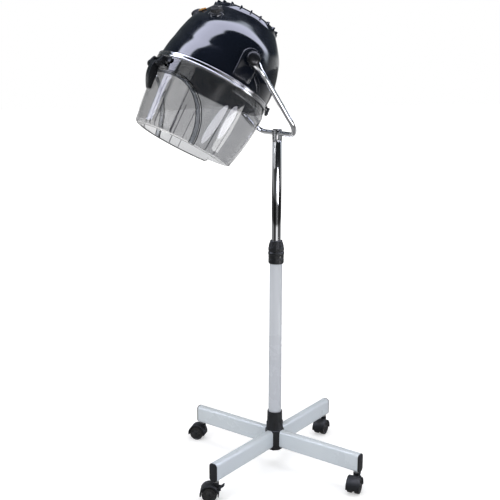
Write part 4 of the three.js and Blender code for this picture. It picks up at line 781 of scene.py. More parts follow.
# ---- Mast
# A 25.4 mm chromed steel tube that slides in the pole. Polishing leaves fine lines along it,
# and the bright plate carries a few faint water marks.
def bright_chrome(name, across, along, tone=1.0):
    """Chrome plate: near-mirror metal with polishing lines and faint water marks; a tone below 1 darkens its
    colours as painted shade.
    """
    material, tree, shader = new_finish(name, Metallic=1.0)
    where = wired(tree, "ShaderNodeTexCoord").outputs["Object"]
    stretch = wired(tree, "ShaderNodeMapping", {"Vector": where, "Scale": (across, across, along)})
    lines = wired(tree, "ShaderNodeTexNoise", {"Vector": stretch.outputs[0], "Scale": 1.0, "Detail": 5.0})
    skin = placed_effect(tree, surface_skin, pebble=300.0, smears=16.0)
    dusty = placed_effect(tree, settled_dust, cover=0.12)["Mask"]
    colours = ((0.84, 0.85, 0.88), (0.90, 0.90, 0.92), (0.74, 0.75, 0.78))
    # Every colour is scaled by tone; below 1 this is painted shade, for a dark room mirrored in the chrome.
    plated, cloudy, marked = [tuple(c * tone for c in colour) for colour in colours]
    shade = blended(tree, skin["Tone"], plated, cloudy)
    shade = blended(tree, maths(tree, "MULTIPLY", skin["Smear"], 0.35), shade, marked)
    tree.links.new(blended(tree, dusty, shade, (0.5, 0.5, 0.5)), shader.inputs["Base Color"])
    marks = maths(tree, "MULTIPLY", skin["Smear"], 0.04)
    scratch = maths(tree, "MULTIPLY", stepped(tree, lines.outputs[0], 0.45, 0.75), 0.04)
    rough = maths(tree, "ADD", maths(tree, "ADD", marks, scratch), 0.03)
    tree.links.new(rough, shader.inputs["Roughness"])
    bumped(tree, shader, lines.outputs[0], 0.06)
    return material


mast_chrome = bright_chrome("mast_chrome", 1400.0, 9.0)
mast_outline = [(12.7, 400), (12.7, 899.5), (11.2, 899.5), (11.2, 400)]
mast_tube = turned(eased(mast_outline, 0.5, closed=True, steps=2), 96, closed=True)
piece("mast_tube", at(mast_tube, stand), mast_chrome, "mast", "chrome", "mast")

# ---- Yoke fork and its pin
# A turned and chromed end fitting pressed into the mast. Its slot takes the yoke's bar, which a
# cross pin holds; a narrow polished band marks the joint with the tube.
fork_outline = [
    (0, 869.8), (10.2, 869.8), (10.9, 871), (10.9, 899.8), (12.7, 899.8), (12.7, 901.2),
    (12.2, 902), (12.2, 903.6), (12.7, 904.4), (12.7, 929.6), (10.6, 932.5), (0, 932.5),
]
fork = turned(eased(fork_outline, 0.5), 96)
slot = at(block((60, 13.3, 40), 1.2, 3), shift(z=924.6))
pin_hole = turned([(0, -20), (2.8, -20), (2.8, 20), (0, 20)], 32)
fork = each_carved([fork], slot, at(pin_hole, shift(z=922), turn(90, "X")))
strap = at(block((24.6, 13.0, 3.4), 0.8, 3), shift(z=930.7))
strap = carved(strap, turned([(0, 900), (12.6, 900), (12.6, 940), (0, 940)], 64), "INTERSECT")
fork = together(fork, strap)
# The fitting's chrome is darkened to 0.55 as painted shade, for the dark room it mirrors.
fork_chrome_painted_shade = bright_chrome("fitting_chrome_painted_shade", 500.0, 500.0, tone=0.55)
piece("fork_fitting", at(fork, stand), fork_chrome_painted_shade, "mast", "chrome", "yoke_fork")
dress("fork_pin", zinc)

# ---- Yoke
# A 12.7 mm chromed steel rod bent into a wide U, its ends pressed flat into round eyes that
# sit on the pivot bolts at both sides of the hood.
pivot_centre = origin_of["hood_tilt"]
bar_height = 0.922  # of the yoke's bar above the floor, in metres
drop = pivot_centre.z - bar_height
ahead_of_pole = stand.translation.y - pivot_centre.y
arm_length = (drop**2 + ahead_of_pole**2) ** 0.5 / MM
lean = Vector((0, -ahead_of_pole, drop)).normalized()
yoke_frame = Matrix.Translation(pivot_centre) @ Matrix(
    ((1, 0, 0, 0), (0, lean.z, lean.y, 0), (0, -lean.y, lean.z, 0), (0, 0, 0, 1))
)
# Half the width at the eyes, how far each arm is drawn in at its foot, the middle line's bend
# and the rod's radius; the arms are straight rod from EYE_ROOT below the eyes.
HALF, SLANT, CORNER, ROD = 154.0, 27.0, 56.0, 6.35
EYE_ROOT = 36


def rod_ring(shape, centre, along, wide, thick, sides=32):
    """One cross-section of the yoke, wide in its plane's up-and-down and thick across the eye."""
    made = bmesh.ops.create_circle(shape, segments=sides, radius=1)
    side = Vector((0, 1, 0))
    out = along.cross(side).normalized()
    frame_of_ring = Matrix((out * thick * MM, side * wide * MM, along)).transposed().to_4x4()
    placed = Matrix.Translation(Vector(centre) * MM) @ frame_of_ring
    bmesh.ops.transform(shape, matrix=placed, verts=made["verts"])
    return [e for v in made["verts"] for e in v.link_edges]


flattened = (
    (-8, 10.3, 3.3), (-14, 10.2, 3.3), (-20, 9.9, 3.4), (-26, 8.6, 4.2), (-31, 7.0, 5.6),
    (-EYE_ROOT, ROD, ROD),
)
stations = [((HALF, 0, down), (0, 0, -1), wide, thick) for down, wide, thick in flattened]
elbow = arm_length - CORNER
for down in (50, 80, 110, 140, elbow):
    drawn_in = SLANT * (down - EYE_ROOT) / (elbow - EYE_ROOT)
    along_arm = Vector((-SLANT, 0, EYE_ROOT - elbow)).normalized()
    stations.append(((HALF - drawn_in, 0, -down), along_arm, ROD, ROD))
FOOT_HALF = HALF - SLANT
for i in range(1, 17):
    a = i / 16 * pi / 2
    centre = (FOOT_HALF - CORNER + CORNER * cos(a), 0, -arm_length + CORNER - CORNER * sin(a))
    stations.append((centre, (-sin(a), 0, -cos(a)), ROD, ROD))
stations.append(((40, 0, -arm_length), (-1, 0, 0), ROD, ROD))
stations.append(((0, 0, -arm_length), (-1, 0, 0), ROD, ROD))
for centre, along, wide, thick in reversed(stations[:-1]):
    stations.append(((-centre[0], 0, centre[2]), (along[0], 0, -along[2]), wide, thick))
rod = bmesh.new()
rings = [rod_ring(rod, c, Vector(a), w, t) for c, a, w, t in stations]
for first, second in zip(rings, rings[1:]):
    bmesh.ops.bridge_loops(rod, edges=list(set(first)) + list(set(second)))
bmesh.ops.holes_fill(rod, edges=[e for e in rod.edges if e.is_boundary], sides=0)
bmesh.ops.recalc_face_normals(rod, faces=rod.faces)
eyes = []
eye_outline = [(4.3, -3.5), (10.5, -3.5), (10.5, 3.5), (4.3, 3.5)]
for side in (-1, 1):
    eye = turned(eased(eye_outline, 1.4, closed=True), 64, closed=True)
    eyes.append(at(eye, shift(x=side * HALF), turn(90, "Y")))
yoke_rod = at(together(rod, *eyes), yoke_frame)
piece("yoke_rod", yoke_rod, bright_chrome("yoke_chrome", 220.0, 220.0), "mast", "chrome", "yoke")

# ---- Hood casing
# One deep injection-moulded shell in high-gloss blue-black plastic, open at the top for the
# air intake cap. Bosses on its sides carry the pivots, small ones in front carry the dials.
tilt = 29.1
SET_BACK = 4.5  # the crown, its cap and the pivots lie this far behind the visor's axis
pivot = Matrix.Translation(pivot_centre) @ turn(-tilt, "X")
hood = pivot @ shift(y=-SET_BACK)

gloss_black, tree, shader = new_finish("gloss_casing", Coat_Weight=0.6, Coat_Roughness=0.03)
skin = placed_effect(tree, surface_skin, pebble=160.0, smears=11.0)
rubbed = placed_effect(tree, worn_edges, width=0.0007, patchiness=90.0)["Mask"]
dusty = placed_effect(tree, settled_dust, drift=22.0, cover=0.16)["Mask"]
clouds = stepped(tree, skin["Tone"], 0.35, 0.7)
shade = blended(tree, clouds, (0.004, 0.006, 0.011), (0.007, 0.010, 0.018))
shade = blended(tree, maths(tree, "MULTIPLY", rubbed, 0.4), shade, (0.06, 0.065, 0.08))
shade = blended(tree, dusty, shade, (0.16, 0.17, 0.20))
tree.links.new(shade, shader.inputs["Base Color"])
tree.links.new(stepped(tree, skin["Smear"], 0, 1, 0.07, 0.17), shader.inputs["Roughness"])
bumped(tree, shader, skin["Height"], 0.05)

DOME = [
    (143.5, -61), (142.21, -29.99), (137.04, 0), (131.02, 24.99), (122.55, 49.98), (107.05, 74.97),
    (90, 98),
]


def through(points, steps):
    """Points on the smooth curve that passes through the given ones."""
    curve = []
    padded = [Vector(points[0])] + [Vector(p) for p in points] + [Vector(points[-1])]
    for i in range(len(points) - 1):
        a, b, c, d = padded[i : i + 4]
        for step in range(steps):
            t = step / steps
            swing = (c - a) * t + (2 * a - 5 * b + 4 * c - d) * t**2 + (3 * b - a - 3 * c + d) * t**3
            curve.append(b + swing * 0.5)
    curve.append(Vector(points[-1]))
    return curve


dome = through(DOME, 10)


def dome_radius(height):
    """The casing's outer radius at a height of the hood, in millimetres."""
    for a, b in zip(dome, dome[1:]):
        if b.y >= height:
            return a.x + (b.x - a.x) * (height - a.y) / (b.y - a.y)
    return dome[-1].x


inner_dome = []
for i, point in enumerate(dome):
    along = (dome[min(i + 1, len(dome) - 1)] - dome[max(i - 1, 0)]).normalized()
    inner_dome.append(point + Vector((-along.y, along.x)) * 3)
inner_dome = [p for p in reversed(inner_dome) if -57 < p.y < 94.5]
shell_outline = [
    (137.2, -84), (140.2, -84), (140.2, -61), *dome, (78, 98), (78, 95), (87, 95), *inner_dome,
    (137.2, -59),
]
shell = turned(eased(shell_outline, 1.0, closed=True, steps=2), 160, closed=True)
for vert in shell.verts:
    share = min(max((vert.co.z / MM + 61) / 50, 0), 1)
    vert.co.y += SET_BACK * MM * share


def round_topped(radius, foot):
    """The outline of a boss: a half circle on two straight sides that end at its foot."""
    top = [(-radius * cos(radians(a)), radius * sin(radians(a))) for a in range(0, 181, 6)]
    return [(-radius, foot), *top, (radius, foot)]


bosses = []
for side in (-1, 1):
    lift = plate(round_topped(24, -52), 19, ease=1.6, segments=4)
    lift = at(lift, shift(x=128), turn(90, "Y"), turn(90, "Z"))
    inset = plate(round_topped(20.4, -50), 0.7, ease=0.4)
    inset = at(inset, shift(x=146.8), turn(90, "Y"), turn(90, "Z"))
    pad_outline = [(4.3, 146), (13, 146), (13, 150.2), (4.3, 150.2)]
    pad = at(turned(eased(pad_outline, 0.7, closed=True), 64, closed=True), turn(90, "Y"))
    boss = together(lift, inset, pad)
    if side < 0:
        at(boss, turn(180, "Z"))
    bosses.append(at(boss, shift(y=SET_BACK)))


def dial_frame(side):
    """The hood-frame matrix of a dial: its foot on the casing and its axis leaning forward."""
    around, out = radians(32 * side), radians(50)
    axis = Vector((sin(around) * sin(out), -cos(around) * sin(out), cos(out)))
    foot = Vector((sin(around) * 110, -cos(around) * 110 + SET_BACK, 68)) * MM
    turned_up = Vector((0, 0, 1)).rotation_difference(axis).to_matrix().to_4x4()
    return Matrix.Translation(foot) @ turned_up


def front_opening():
    """The room in front, below the trim ring, that the skirt and the bowl's flange leave open."""
    return at(block((320, 170, 40), 2), shift(y=-79, z=-93))


seat_outline = [(0, -6), (17.5, -6), (17.5, 3.2), (3.3, 3.2), (3.3, 2.2), (0, 2.2)]
dial_seats = [at(turned(eased(seat_outline, 0.8), 72), dial_frame(side)) for side in (-1, 1)]
gland_outline = [(4, -8), (9, -8), (9, 3.4), (7.6, 4), (7.6, 5.4), (6.6, 6), (4, 6)]
gland = turned(eased(gland_outline, 0.5, closed=True), 64, closed=True)
at(gland, shift(y=dome_radius(45) + SET_BACK, z=45), turn(-90, "X"))
shell = carved(shell, front_opening())
casing = at(together(shell, *bosses, *dial_seats, gland), hood)
piece("casing_shell", casing, gloss_black, "hood", "gloss_black", "casing")

# ---- Motor, fan, heater and air bowl
# An induction motor on a pressed bracket turns an aluminium fan; below it mica boards wound
# with wire heat the air, which leaves through rows of holes in the domed bowl over the head.
laminated, tree, shader = new_finish("motor_laminations", Metallic=0.8)
where = wired(tree, "ShaderNodeTexCoord").outputs["Object"]
leaned = wired(tree, "ShaderNodeMapping", {"Vector": where, "Rotation": (radians(tilt), 0, 0)})
leaves = wired(
    tree, "ShaderNodeTexWave", {"Vector": leaned.outputs[0], "Scale": 420.0}, bands_direction="Z"
)
skin = placed_effect(tree, surface_skin, pebble=700.0)
shade = blended(tree, leaves.outputs["Fac"], (0.10, 0.10, 0.11), (0.28, 0.28, 0.29))
tree.links.new(blended(tree, skin["Smear"], shade, (0.16, 0.13, 0.10)), shader.inputs["Base Color"])
tree.links.new(stepped(tree, skin["Smear"], 0, 1, 0.35, 0.6), shader.inputs["Roughness"])
bumped(tree, shader, leaves.outputs["Fac"], 0.4)

mica, tree, shader = new_finish("mica_board")
where = wired(tree, "ShaderNodeTexCoord").outputs["Object"]
leaned = wired(tree, "ShaderNodeMapping", {"Vector": where, "Rotation": (radians(tilt), 0, 0)})
coils = wired(
    tree, "ShaderNodeTexWave", {"Vector": leaned.outputs[0], "Scale": 130.0}, bands_direction="Z"
)
flakes = wired(tree, "ShaderNodeTexVoronoi", {"Vector": where, "Scale": 380.0})
board = blended(tree, flakes.outputs["Distance"], (0.52, 0.46, 0.32), (0.34, 0.30, 0.21))
wire = stepped(tree, coils.outputs["Fac"], 0.80, 0.92)
tree.links.new(blended(tree, wire, board, (0.30, 0.26, 0.24)), shader.inputs["Base Color"])
tree.links.new(stepped(tree, wire, 0, 1, 0.65, 0.3), shader.inputs["Roughness"])
tree.links.new(wire, shader.inputs["Metallic"])
bumped(tree, shader, coils.outputs["Fac"], 0.5)

aluminium, tree, shader = new_finish("pressed_aluminium", Metallic=1.0)
skin = placed_effect(tree, surface_skin, pebble=900.0, smears=30.0)
rubbed = placed_effect(tree, worn_edges, width=0.0005)["Mask"]
shade = blended(tree, skin["Smear"], (0.62, 0.63, 0.64), (0.50, 0.50, 0.50))
tree.links.new(blended(tree, rubbed, shade, (0.78, 0.78, 0.78)), shader.inputs["Base Color"])
tree.links.new(stepped(tree, skin["Smear"], 0, 1, 0.28, 0.5), shader.inputs["Roughness"])
bumped(tree, shader, skin["Height"], 0.25)
for node, finish in (
    ("motor", laminated), ("motor_brace", zinc), ("timer", zinc), ("heat_switch", zinc),
    ("heater", mica), ("fan", aluminium),
):
    dress(node, finish)

bowl_plastic = moulded_plastic(
    "bowl_moulding", (0.009, 0.015, 0.028), (0.06, 0.07, 0.09), 0.22,
    pebble=600.0, depth=0.12, dust=0.1, shine=0.15,
)
bowl_outer = [
    (136.9, -84), (136.9, -81.2), (126, -80), (124.2, -55), (122, -25), (115, 9), (97, 32),
    (68, 44), (0, 44),
]
bowl_inner = [(0, 41.5), (67, 41.5), (95, 30), (112.5, 8), (119.5, -25), (121.7, -55), (123.5, -84)]
bowl_outline = eased(bowl_outer, 9, steps=5) + eased(bowl_inner, 9, steps=5)
bowl = turned(bowl_outline + [Vector((136.9, -84))], 128)
hole_rows = (
    (0, 42, 0, 1), (20, 42, 0, 6), (38, 42, 0, 12), (56, 42, 0, 18), (82, 38, 23, 22),
    (106, 21, 52, 26), (118, -8, 78, 28),
)
drills = []
for radius, height, slope, count in hole_rows:
    for i in range(count):
        drill = turned([(0, -7), (2.6, -7), (2.6, 7), (0, 7)], 12)
        around = turn(360 / count * (i + 0.5), "Z")
        drills.append(at(drill, around, shift(x=radius, z=height), turn(slope, "Y")))
bowl = carved(bowl, together(*drills, front_opening()))
piece("air_bowl_shell", at(bowl, hood), bowl_plastic, "hood", "gloss_black", "air_bowl")

# ---- Intake cap
# The black lid over the motor: a drum with twenty grip ribs, pushed into the casing's crown,
# with a slot between each two ribs through which the fan draws air.
cap_outline = [
    (74.7, 95), (77.7, 95), (77.7, 98.3), (89, 98.3), (84, 109), (80, 113), (42, 120.5), (0, 122),
    (0, 119), (42, 117.5), (74.7, 110),
]
cap = turned(eased(cap_outline, 1.4) + [Vector((74.7, 95))], 160)
slots = [at(block((22, 4, 26), 1.8), turn(18 * i + 9, "Z"), shift(x=60, z=114)) for i in range(20)]
cap = carved(cap, together(*slots))
ribs = [at(block((9.6, 4, 17.2), 1.7, 4), turn(18 * i, "Z"), shift(x=82, z=106.8)) for i in range(20)]
boss_outline = [(0, 119.5), (15, 119.5), (15, 121.6), (13.6, 122), (0, 122)]
crown_boss = turned(eased(boss_outline, 0.5), 64)
cap_shape = at(together(cap, *ribs, crown_boss), hood, shift(y=SET_BACK))
piece("intake_cap", cap_shape, gloss_black, "hood", "gloss_black", "top_cap")

# ---- Trim ring
# A chromed band that clips over the joint between the casing and the visor, with a sunk
# groove between two bright edges.
ring_outline = [
    (144.3, -73.4), (147.6, -73.4), (149, -72.6), (149.2, -70.6), (147.6, -69.6), (147.1, -68.8),
    (147.1, -66), (147.6, -65.2), (149, -64.4), (148.8, -62), (147.8, -61), (144.3, -61),
]
ring = turned(eased(ring_outline, 0.5, closed=True), 192, closed=True)
# The band's chrome is darkened to 0.72 as painted shade, to dim its bright reflection.
ring_chrome_painted_shade = bright_chrome("ring_chrome_painted_shade", 300.0, 300.0, tone=0.72)
piece("trim_band", at(ring, hood), ring_chrome_painted_shade, "hood", "chrome", "trim_ring")

# ---- Controls and pilot lamp
# A timer dial on the right and a heat dial on the left, both fluted black knobs with a white
# pointer over a printed scale; an amber lens between them lights when the dryer runs.
print_white, tree, shader = new_finish("printed_white", Specular_IOR_Level=0.3)
skin = placed_effect(tree, surface_skin, pebble=2500.0, smears=80.0)
shade = blended(tree, skin["Smear"], (0.72, 0.73, 0.75), (0.58, 0.59, 0.61))
tree.links.new(shade, shader.inputs["Base Color"])
tree.links.new(stepped(tree, skin["Smear"], 0, 1, 0.45, 0.65), shader.inputs["Roughness"])
bumped(tree, shader, skin["Height"], 0.2)


def printed_word(word, height, place):
    """Raised print of a word, lying in XY at the place and read from -Y."""
    curve = bpy.data.curves.new("print", "FONT")
    curve.body = word
    curve.size = height * MM
    curve.extrude = 0.08 * MM
    curve.align_x = curve.align_y = "CENTER"
    curve.resolution_u = 3
    holder = bpy.data.objects.new("print", curve)
    scene.collection.objects.link(holder)
    drawn = holder.evaluated_get(bpy.context.evaluated_depsgraph_get())
    mesh = bpy.data.meshes.new_from_object(drawn)
    shape = bmesh.new()
    shape.from_mesh(mesh)
    bpy.data.objects.remove(holder)
    bpy.data.curves.remove(curve)
    bpy.data.meshes.remove(mesh)
    return at(shape, place)


for side, name, node, marks, sweep in (
    (1, "timer", "timer_dial", ("0", "10", "20", "30", "40", "50", "60"), 300),
    (-1, "heat", "heat_dial", ("0", "1", "2", "3"), 180),
):
    frame_of_dial = hood @ dial_frame(side)
    knob_outline = [
        (0, -12), (3, -12), (3, 3.5), (16, 3.5), (16, 5.6), (14.6, 6.4), (13.6, 14.6),
        (12.4, 16.3), (9, 16.3), (8.4, 15.9), (0, 15.9),
    ]
    knob = turned(eased(knob_outline, 0.7), 96)
    flute_outline = [(0, 6.6), (1.5, 6.6), (1.5, 20), (0, 20)]
    flutes = [
        at(turned(flute_outline, 12), turn(15 * i, "Z"), shift(x=15.2), turn(-3, "Y"))
        for i in range(24)
    ]
    knob = carved(knob, together(*flutes))
    piece(f"{name}_knob", at(knob, frame_of_dial), black_moulding, f"{name}_dial", "black_plastic", node)
    pointer = at(block((1.2, 8.5, 0.5), 0.2), frame_of_dial, shift(y=9.4, z=16.25))
    piece(f"{name}_pointer", pointer, print_white, f"{name}_dial", "white_paint")
    prints = []
    for i, mark in enumerate(marks):
        angle = -sweep * i / (len(marks) - 1)
        tick = block((0.5, 1.6, 0.2), 0.05, 1)
        prints.append(at(tick, frame_of_dial, turn(angle, "Z"), shift(y=16.9, z=3.22)))
        if side > 0 or i:
            place = frame_of_dial @ turn(angle, "Z") @ shift(y=19.6, z=1.6) @ turn(-22, "X")
            prints.append(printed_word(mark, 2.6, place))
    piece(f"{name}_scale", together(*prints), print_white, "hood", "white_paint")

amber, tree, shader = new_finish("amber_lens", Transmission_Weight=0.55, IOR=1.49, Coat_Weight=0.4)
where = wired(tree, "ShaderNodeTexCoord").outputs["Object"]
facets = wired(tree, "ShaderNodeTexWave", {"Vector": where, "Scale": 230.0}, bands_direction="X")
skin = placed_effect(tree, surface_skin, pebble=1500.0, smears=60.0)
shade = blended(tree, facets.outputs["Fac"], (0.80, 0.36, 0.03), (0.95, 0.55, 0.08))
tree.links.new(shade, shader.inputs["Base Color"])
tree.links.new(stepped(tree, skin["Smear"], 0, 1, 0.08, 0.22), shader.inputs["Roughness"])
bumped(tree, shader, facets.outputs["Fac"], 0.3)
lamp_frame = hood @ shift(y=SET_BACK - dome_radius(72), z=72) @ turn(50, "X")
lens = block((22, 12, 9), 1.6, 4)
bars = [at(block((1.6, 9.4, 1.0), 0.4), shift(x=-8.1 + 2.7 * i, z=4.3)) for i in range(7)]
piece("pilot_lens", at(together(lens, *bars), lamp_frame), amber, "hood", "amber_lens", "lamp_lens")
surround = plate(rounded_rect(27, 17, 3), 2.2, ease=0.8)
surround = carved(surround, block((22.6, 12.6, 20), 0.4))
piece("pilot_surround", at(surround, lamp_frame, shift(z=-0.6)), black_moulding, "hood", "black_plastic")

# ---- Visor and flap
# Blow-formed smoked acrylic 2.5 mm thick with a rolled bottom rim, cut away at the neck. An arch
# is cut out of the front, and the cut-out is the flap, stiffened by a doubled edge and ribs.
TOP, SHOULDER, FOOT, RIM = -61.3, -74.0, -239.3, 14.0  # heights, and the rim's bend radius
WIDE, NARROW, BELLY = 144, 129, 6  # the wall's radius at the top and foot, and its fullness

# Dark lines at given angles round the hood, painted as shade where the edges of the visor's panel and the
# flap's ribs look dark.
painted_edge_shade = bpy.data.node_groups.new("painted_edge_shade", "ShaderNodeTree")
painted_edge_shade.interface.new_socket("Inner Angle", in_out="INPUT", socket_type="NodeSocketFloat")
painted_edge_shade.interface.new_socket("Outer Angle", in_out="INPUT", socket_type="NodeSocketFloat")
painted_edge_shade.interface.new_socket("Rib Angle", in_out="INPUT", socket_type="NodeSocketFloat")
painted_edge_shade.interface.new_socket("Mask", in_out="OUTPUT", socket_type="NodeSocketFloat")
given = wired(painted_edge_shade, "NodeGroupInput").outputs
end = wired(painted_edge_shade, "NodeGroupOutput")
where = wired(painted_edge_shade, "ShaderNodeTexCoord").outputs["Object"]
upright = wired(painted_edge_shade, "ShaderNodeMapping", {"Vector": where, "Rotation": (radians(tilt), 0, 0)})
upright.inputs["Location"].default_value = hood.inverted().translation
spot = wired(painted_edge_shade, "ShaderNodeSeparateXYZ", {"Vector": upright.outputs[0]}).outputs
aside = maths(painted_edge_shade, "ABSOLUTE", spot["X"])
ahead = maths(painted_edge_shade, "MULTIPLY", spot["Y"], -1.0)
round_angle = maths(painted_edge_shade, "ARCTAN2", aside, ahead)
round_angle = maths(painted_edge_shade, "MULTIPLY", round_angle, 180 / pi)
low_down = stepped(painted_edge_shade, spot["Z"], -0.236, -0.125, 1.0, 0.0)
line_masks = []
line_widths = (("Inner Angle", 0.55, 0.75), ("Outer Angle", 0.45, 0.55), ("Rib Angle", 0.45, 1.5))
for asked, narrow, wide in line_widths:
    off = maths(painted_edge_shade, "SUBTRACT", round_angle, given[asked])
    off = maths(painted_edge_shade, "ABSOLUTE", off)
    reach = maths(painted_edge_shade, "MULTIPLY", low_down, wide - narrow)
    reach = maths(painted_edge_shade, "ADD", reach, narrow)
    off = maths(painted_edge_shade, "DIVIDE", off, reach)
    line_masks.append(stepped(painted_edge_shade, off, 0.6, 1.0, 1.0, 0.0))
all_lines = maths(painted_edge_shade, "MAXIMUM", line_masks[0], line_masks[1])
all_lines = maths(painted_edge_shade, "MAXIMUM", all_lines, line_masks[2])
under_top = stepped(painted_edge_shade, spot["Z"], -0.126, -0.120, 1.0, 0.0)
over_rim = stepped(painted_edge_shade, spot["Z"], -0.238, -0.234)
in_reach = maths(painted_edge_shade, "MULTIPLY", under_top, over_rim)
all_lines = maths(painted_edge_shade, "MULTIPLY", all_lines, in_reach)
painted_edge_shade.links.new(all_lines, end.inputs["Mask"])


def smoked(name, tint, lines=None, bend=1.49):
    """Smoked clear acrylic: polished, tinted right through, with faint wiping marks, and dark lines painted
    as shade at the given angles.
    """
    material, tree, shader = new_finish(name, Transmission_Weight=1.0, IOR=bend)
    where = wired(tree, "ShaderNodeTexCoord").outputs["Object"]
    flow = wired(tree, "ShaderNodeTexNoise", {"Vector": where, "Scale": 9.0, "Detail": 1.0}).outputs[0]
    skin = placed_effect(tree, surface_skin, pebble=60.0, smears=14.0)
    dusty = placed_effect(tree, settled_dust, cover=0.08)["Mask"]
    facing = wired(tree, "ShaderNodeLayerWeight", {"Blend": 0.5}).outputs["Facing"]
    shade = blended(tree, stepped(tree, facing, 0.2, 0.85), tint, tuple(c * 0.85 for c in tint))
    shade = blended(tree, maths(tree, "MULTIPLY", flow, 0.4), shade, tuple(c * 0.92 for c in tint))
    shade = blended(tree, maths(tree, "MULTIPLY", dusty, 0.5), shade, (0.45, 0.45, 0.45))
    if lines:
        shade_lines_node = wired(tree, "ShaderNodeGroup", node_tree=painted_edge_shade)
        for socket, angle in zip(shade_lines_node.inputs, lines):
            socket.default_value = angle
        # Painted shade: the lines darken the tint to near black.
        shade = blended(tree, shade_lines_node.outputs["Mask"], shade, (0.12, 0.12, 0.13))
    tree.links.new(shade, shader.inputs["Base Color"])
    tree.links.new(stepped(tree, skin["Smear"], 0, 1, 0.0, 0.04), shader.inputs["Roughness"])
    bumped(tree, shader, flow, 0.15, 0.004)
    through_light = wired(tree, "ShaderNodeBsdfTransparent", {"Color": (*(c**0.5 for c in tint), 1)})
    shadow = wired(tree, "ShaderNodeLightPath").outputs["Is Shadow Ray"]
    mix = wired(
        tree, "ShaderNodeMixShader", {0: shadow, 1: shader.outputs[0], 2: through_light.outputs[0]}
    )
    tree.links.new(mix.outputs[0], tree.nodes["Material Output"].inputs["Surface"])
    return material


def wall_radius(height):
    """The visor's outer radius at a height of the hood, in millimetres: full, then drawn in."""
    share = min(max((SHOULDER - height) / (SHOULDER - FOOT - RIM), 0), 1)
    return WIDE - (WIDE - NARROW) * share + BELLY * share * (1 - share)


def visor_shell(extra=0.0, wall=2.5):
    """The whole visor before the arch is cut, made thicker outwards by extra."""
    corner = [(cos(radians(a)), -sin(radians(a))) for a in range(90, -1, -15)]
    rolled = NARROW - RIM
    levels = [SHOULDER - (SHOULDER - FOOT - RIM) * i / 8 for i in range(8)]
    outside = [(rolled - 4 + extra, FOOT)]
    outside += [(rolled + extra + RIM * x, FOOT + RIM + RIM * z) for x, z in corner]
    outside += [(wall_radius(h) + extra, h) for h in reversed(levels)] + [(WIDE + extra, TOP)]
    inside = [(WIDE - wall, TOP)] + [(wall_radius(h) - wall, h) for h in levels]
    inside += [(rolled + (RIM - wall) * x, FOOT + RIM + (RIM - wall) * z) for x, z in reversed(corner)]
    inside += [(rolled - 4, FOOT + max(wall, 0.02))]
    return turned(outside + inside, 180, closed=True)


def fuller_back(shape, begins=100, full=152):
    """The visor's back stands out from under the band, and comes in again at the rim."""
    for vert in shape.verts:
        height = vert.co.z / MM
        down = min(max((SHOULDER - height) / (SHOULDER - FOOT - RIM), 0), 1)
        around = atan2(abs(vert.co.x), -vert.co.y)
        round_back = min(max((around - radians(begins)) / radians(full - begins), 0), 1)
        round_back *= round_back * (3 - 2 * round_back)
        if height < SHOULDER - 1:
            out = (1 - down**1.6) * (5.2 + 8 * down) * round_back * MM
            away = Vector((vert.co.x, vert.co.y, 0)).normalized()
            vert.co += away * out
    return shape


def arch_block(side_inset, top_inset, low=-260.0):
    """The space behind the front arch, drawn in from its edge, bent round the visor."""
    space = bmesh.new()
    bmesh.ops.create_grid(space, x_segments=80, y_segments=1, size=1)
    raised = bmesh.ops.extrude_face_region(space, geom=space.faces[:])["geom"]
    far_side = [v for v in raised if isinstance(v, bmesh.types.BMVert)]
    bmesh.ops.translate(space, verts=far_side, vec=(0, 0, 1))
    spread = 80.5 - side_inset / 130 * 180 / pi
    for vert in space.verts:
        share = min(abs(vert.co.x), 1.0)
        bend = 0.0 if share < 0.35 else sin((share - 0.35) / 0.65 * pi / 2)
        angle = 30 * share / 0.35 if share < 0.35 else 30 + bend * (spread - 30)
        angle = radians(angle) * (1 if vert.co.x > 0 else -1)
        crest = FOOT + (132.5 - top_inset) * max(0.0, 1 - bend**2.3) ** 0.5
        height = max(crest, low + 0.5) if vert.co.y > 0 else low
        radius = 175 if vert.co.z > 0.5 else 90
        vert.co = Vector((radius * sin(angle), -radius * cos(angle), height)) * MM
    bmesh.ops.recalc_face_normals(space, faces=space.faces)
    return space


def wall_rib(angle, high, low, wide, proud):
    """A moulded rib down the visor's wall at an angle from the front."""
    rib = at(block((2 * proud + 1.0, wide, high - low), 0.45), shift(z=(high + low) / 2))
    for i in range(1, 8):
        level = (0, 0, (low + (high - low) * i / 8) * MM)
        everything = rib.verts[:] + rib.edges[:] + rib.faces[:]
        bmesh.ops.bisect_plane(rib, geom=everything, plane_co=level, plane_no=(0, 0, 1))
    for vert in rib.verts:
        vert.co.x += (wall_radius(vert.co.z / MM) - 0.4) * MM
    return at(rib, turn(angle - 90, "Z"))


NO_RIB = 400.0
# The visor's panel edges and the flap's rib edges get painted shade lines at these angles.
smoked_visor = smoked("smoked_visor", (0.50, 0.505, 0.515), lines=(94.9, 106.8, NO_RIB))
smoked_flap = smoked("smoked_flap", (0.585, 0.585, 0.59), lines=(24.4, 31.5, 52.5))
# Near-black acrylic for thin strips along the arch: a dark sheet put as painted shade where the arch's edges
# look dark.
painted_shade_strips = smoked("painted_shade_strips", (0.02, 0.028, 0.04), bend=1.2)
smoked_double = smoked("smoked_double", (0.47, 0.49, 0.52), bend=1.12)
neck = [(0, 0)] + [(200 * sin(radians(a)), -200 * cos(radians(a))) for a in range(146, 215, 4)]
neck_space = at(plate(neck, 29.5, ease=1.5), shift(z=-260))
neck_lips = [
    at(block((3.4, 2.2, 10), 0.8), turn(side * 146 - 90, "Z"), shift(x=127.2, z=-229.5))
    for side in (-1, 1)
]

visor = carved(visor_shell(), together(arch_block(0, 0), neck_space))
visor = carved(visor, together(*neck_lips), "UNION")
piece("visor_shell", at(fuller_back(visor), hood), smoked_visor, "hood", "smoked_acrylic", "visor", sharp=50)

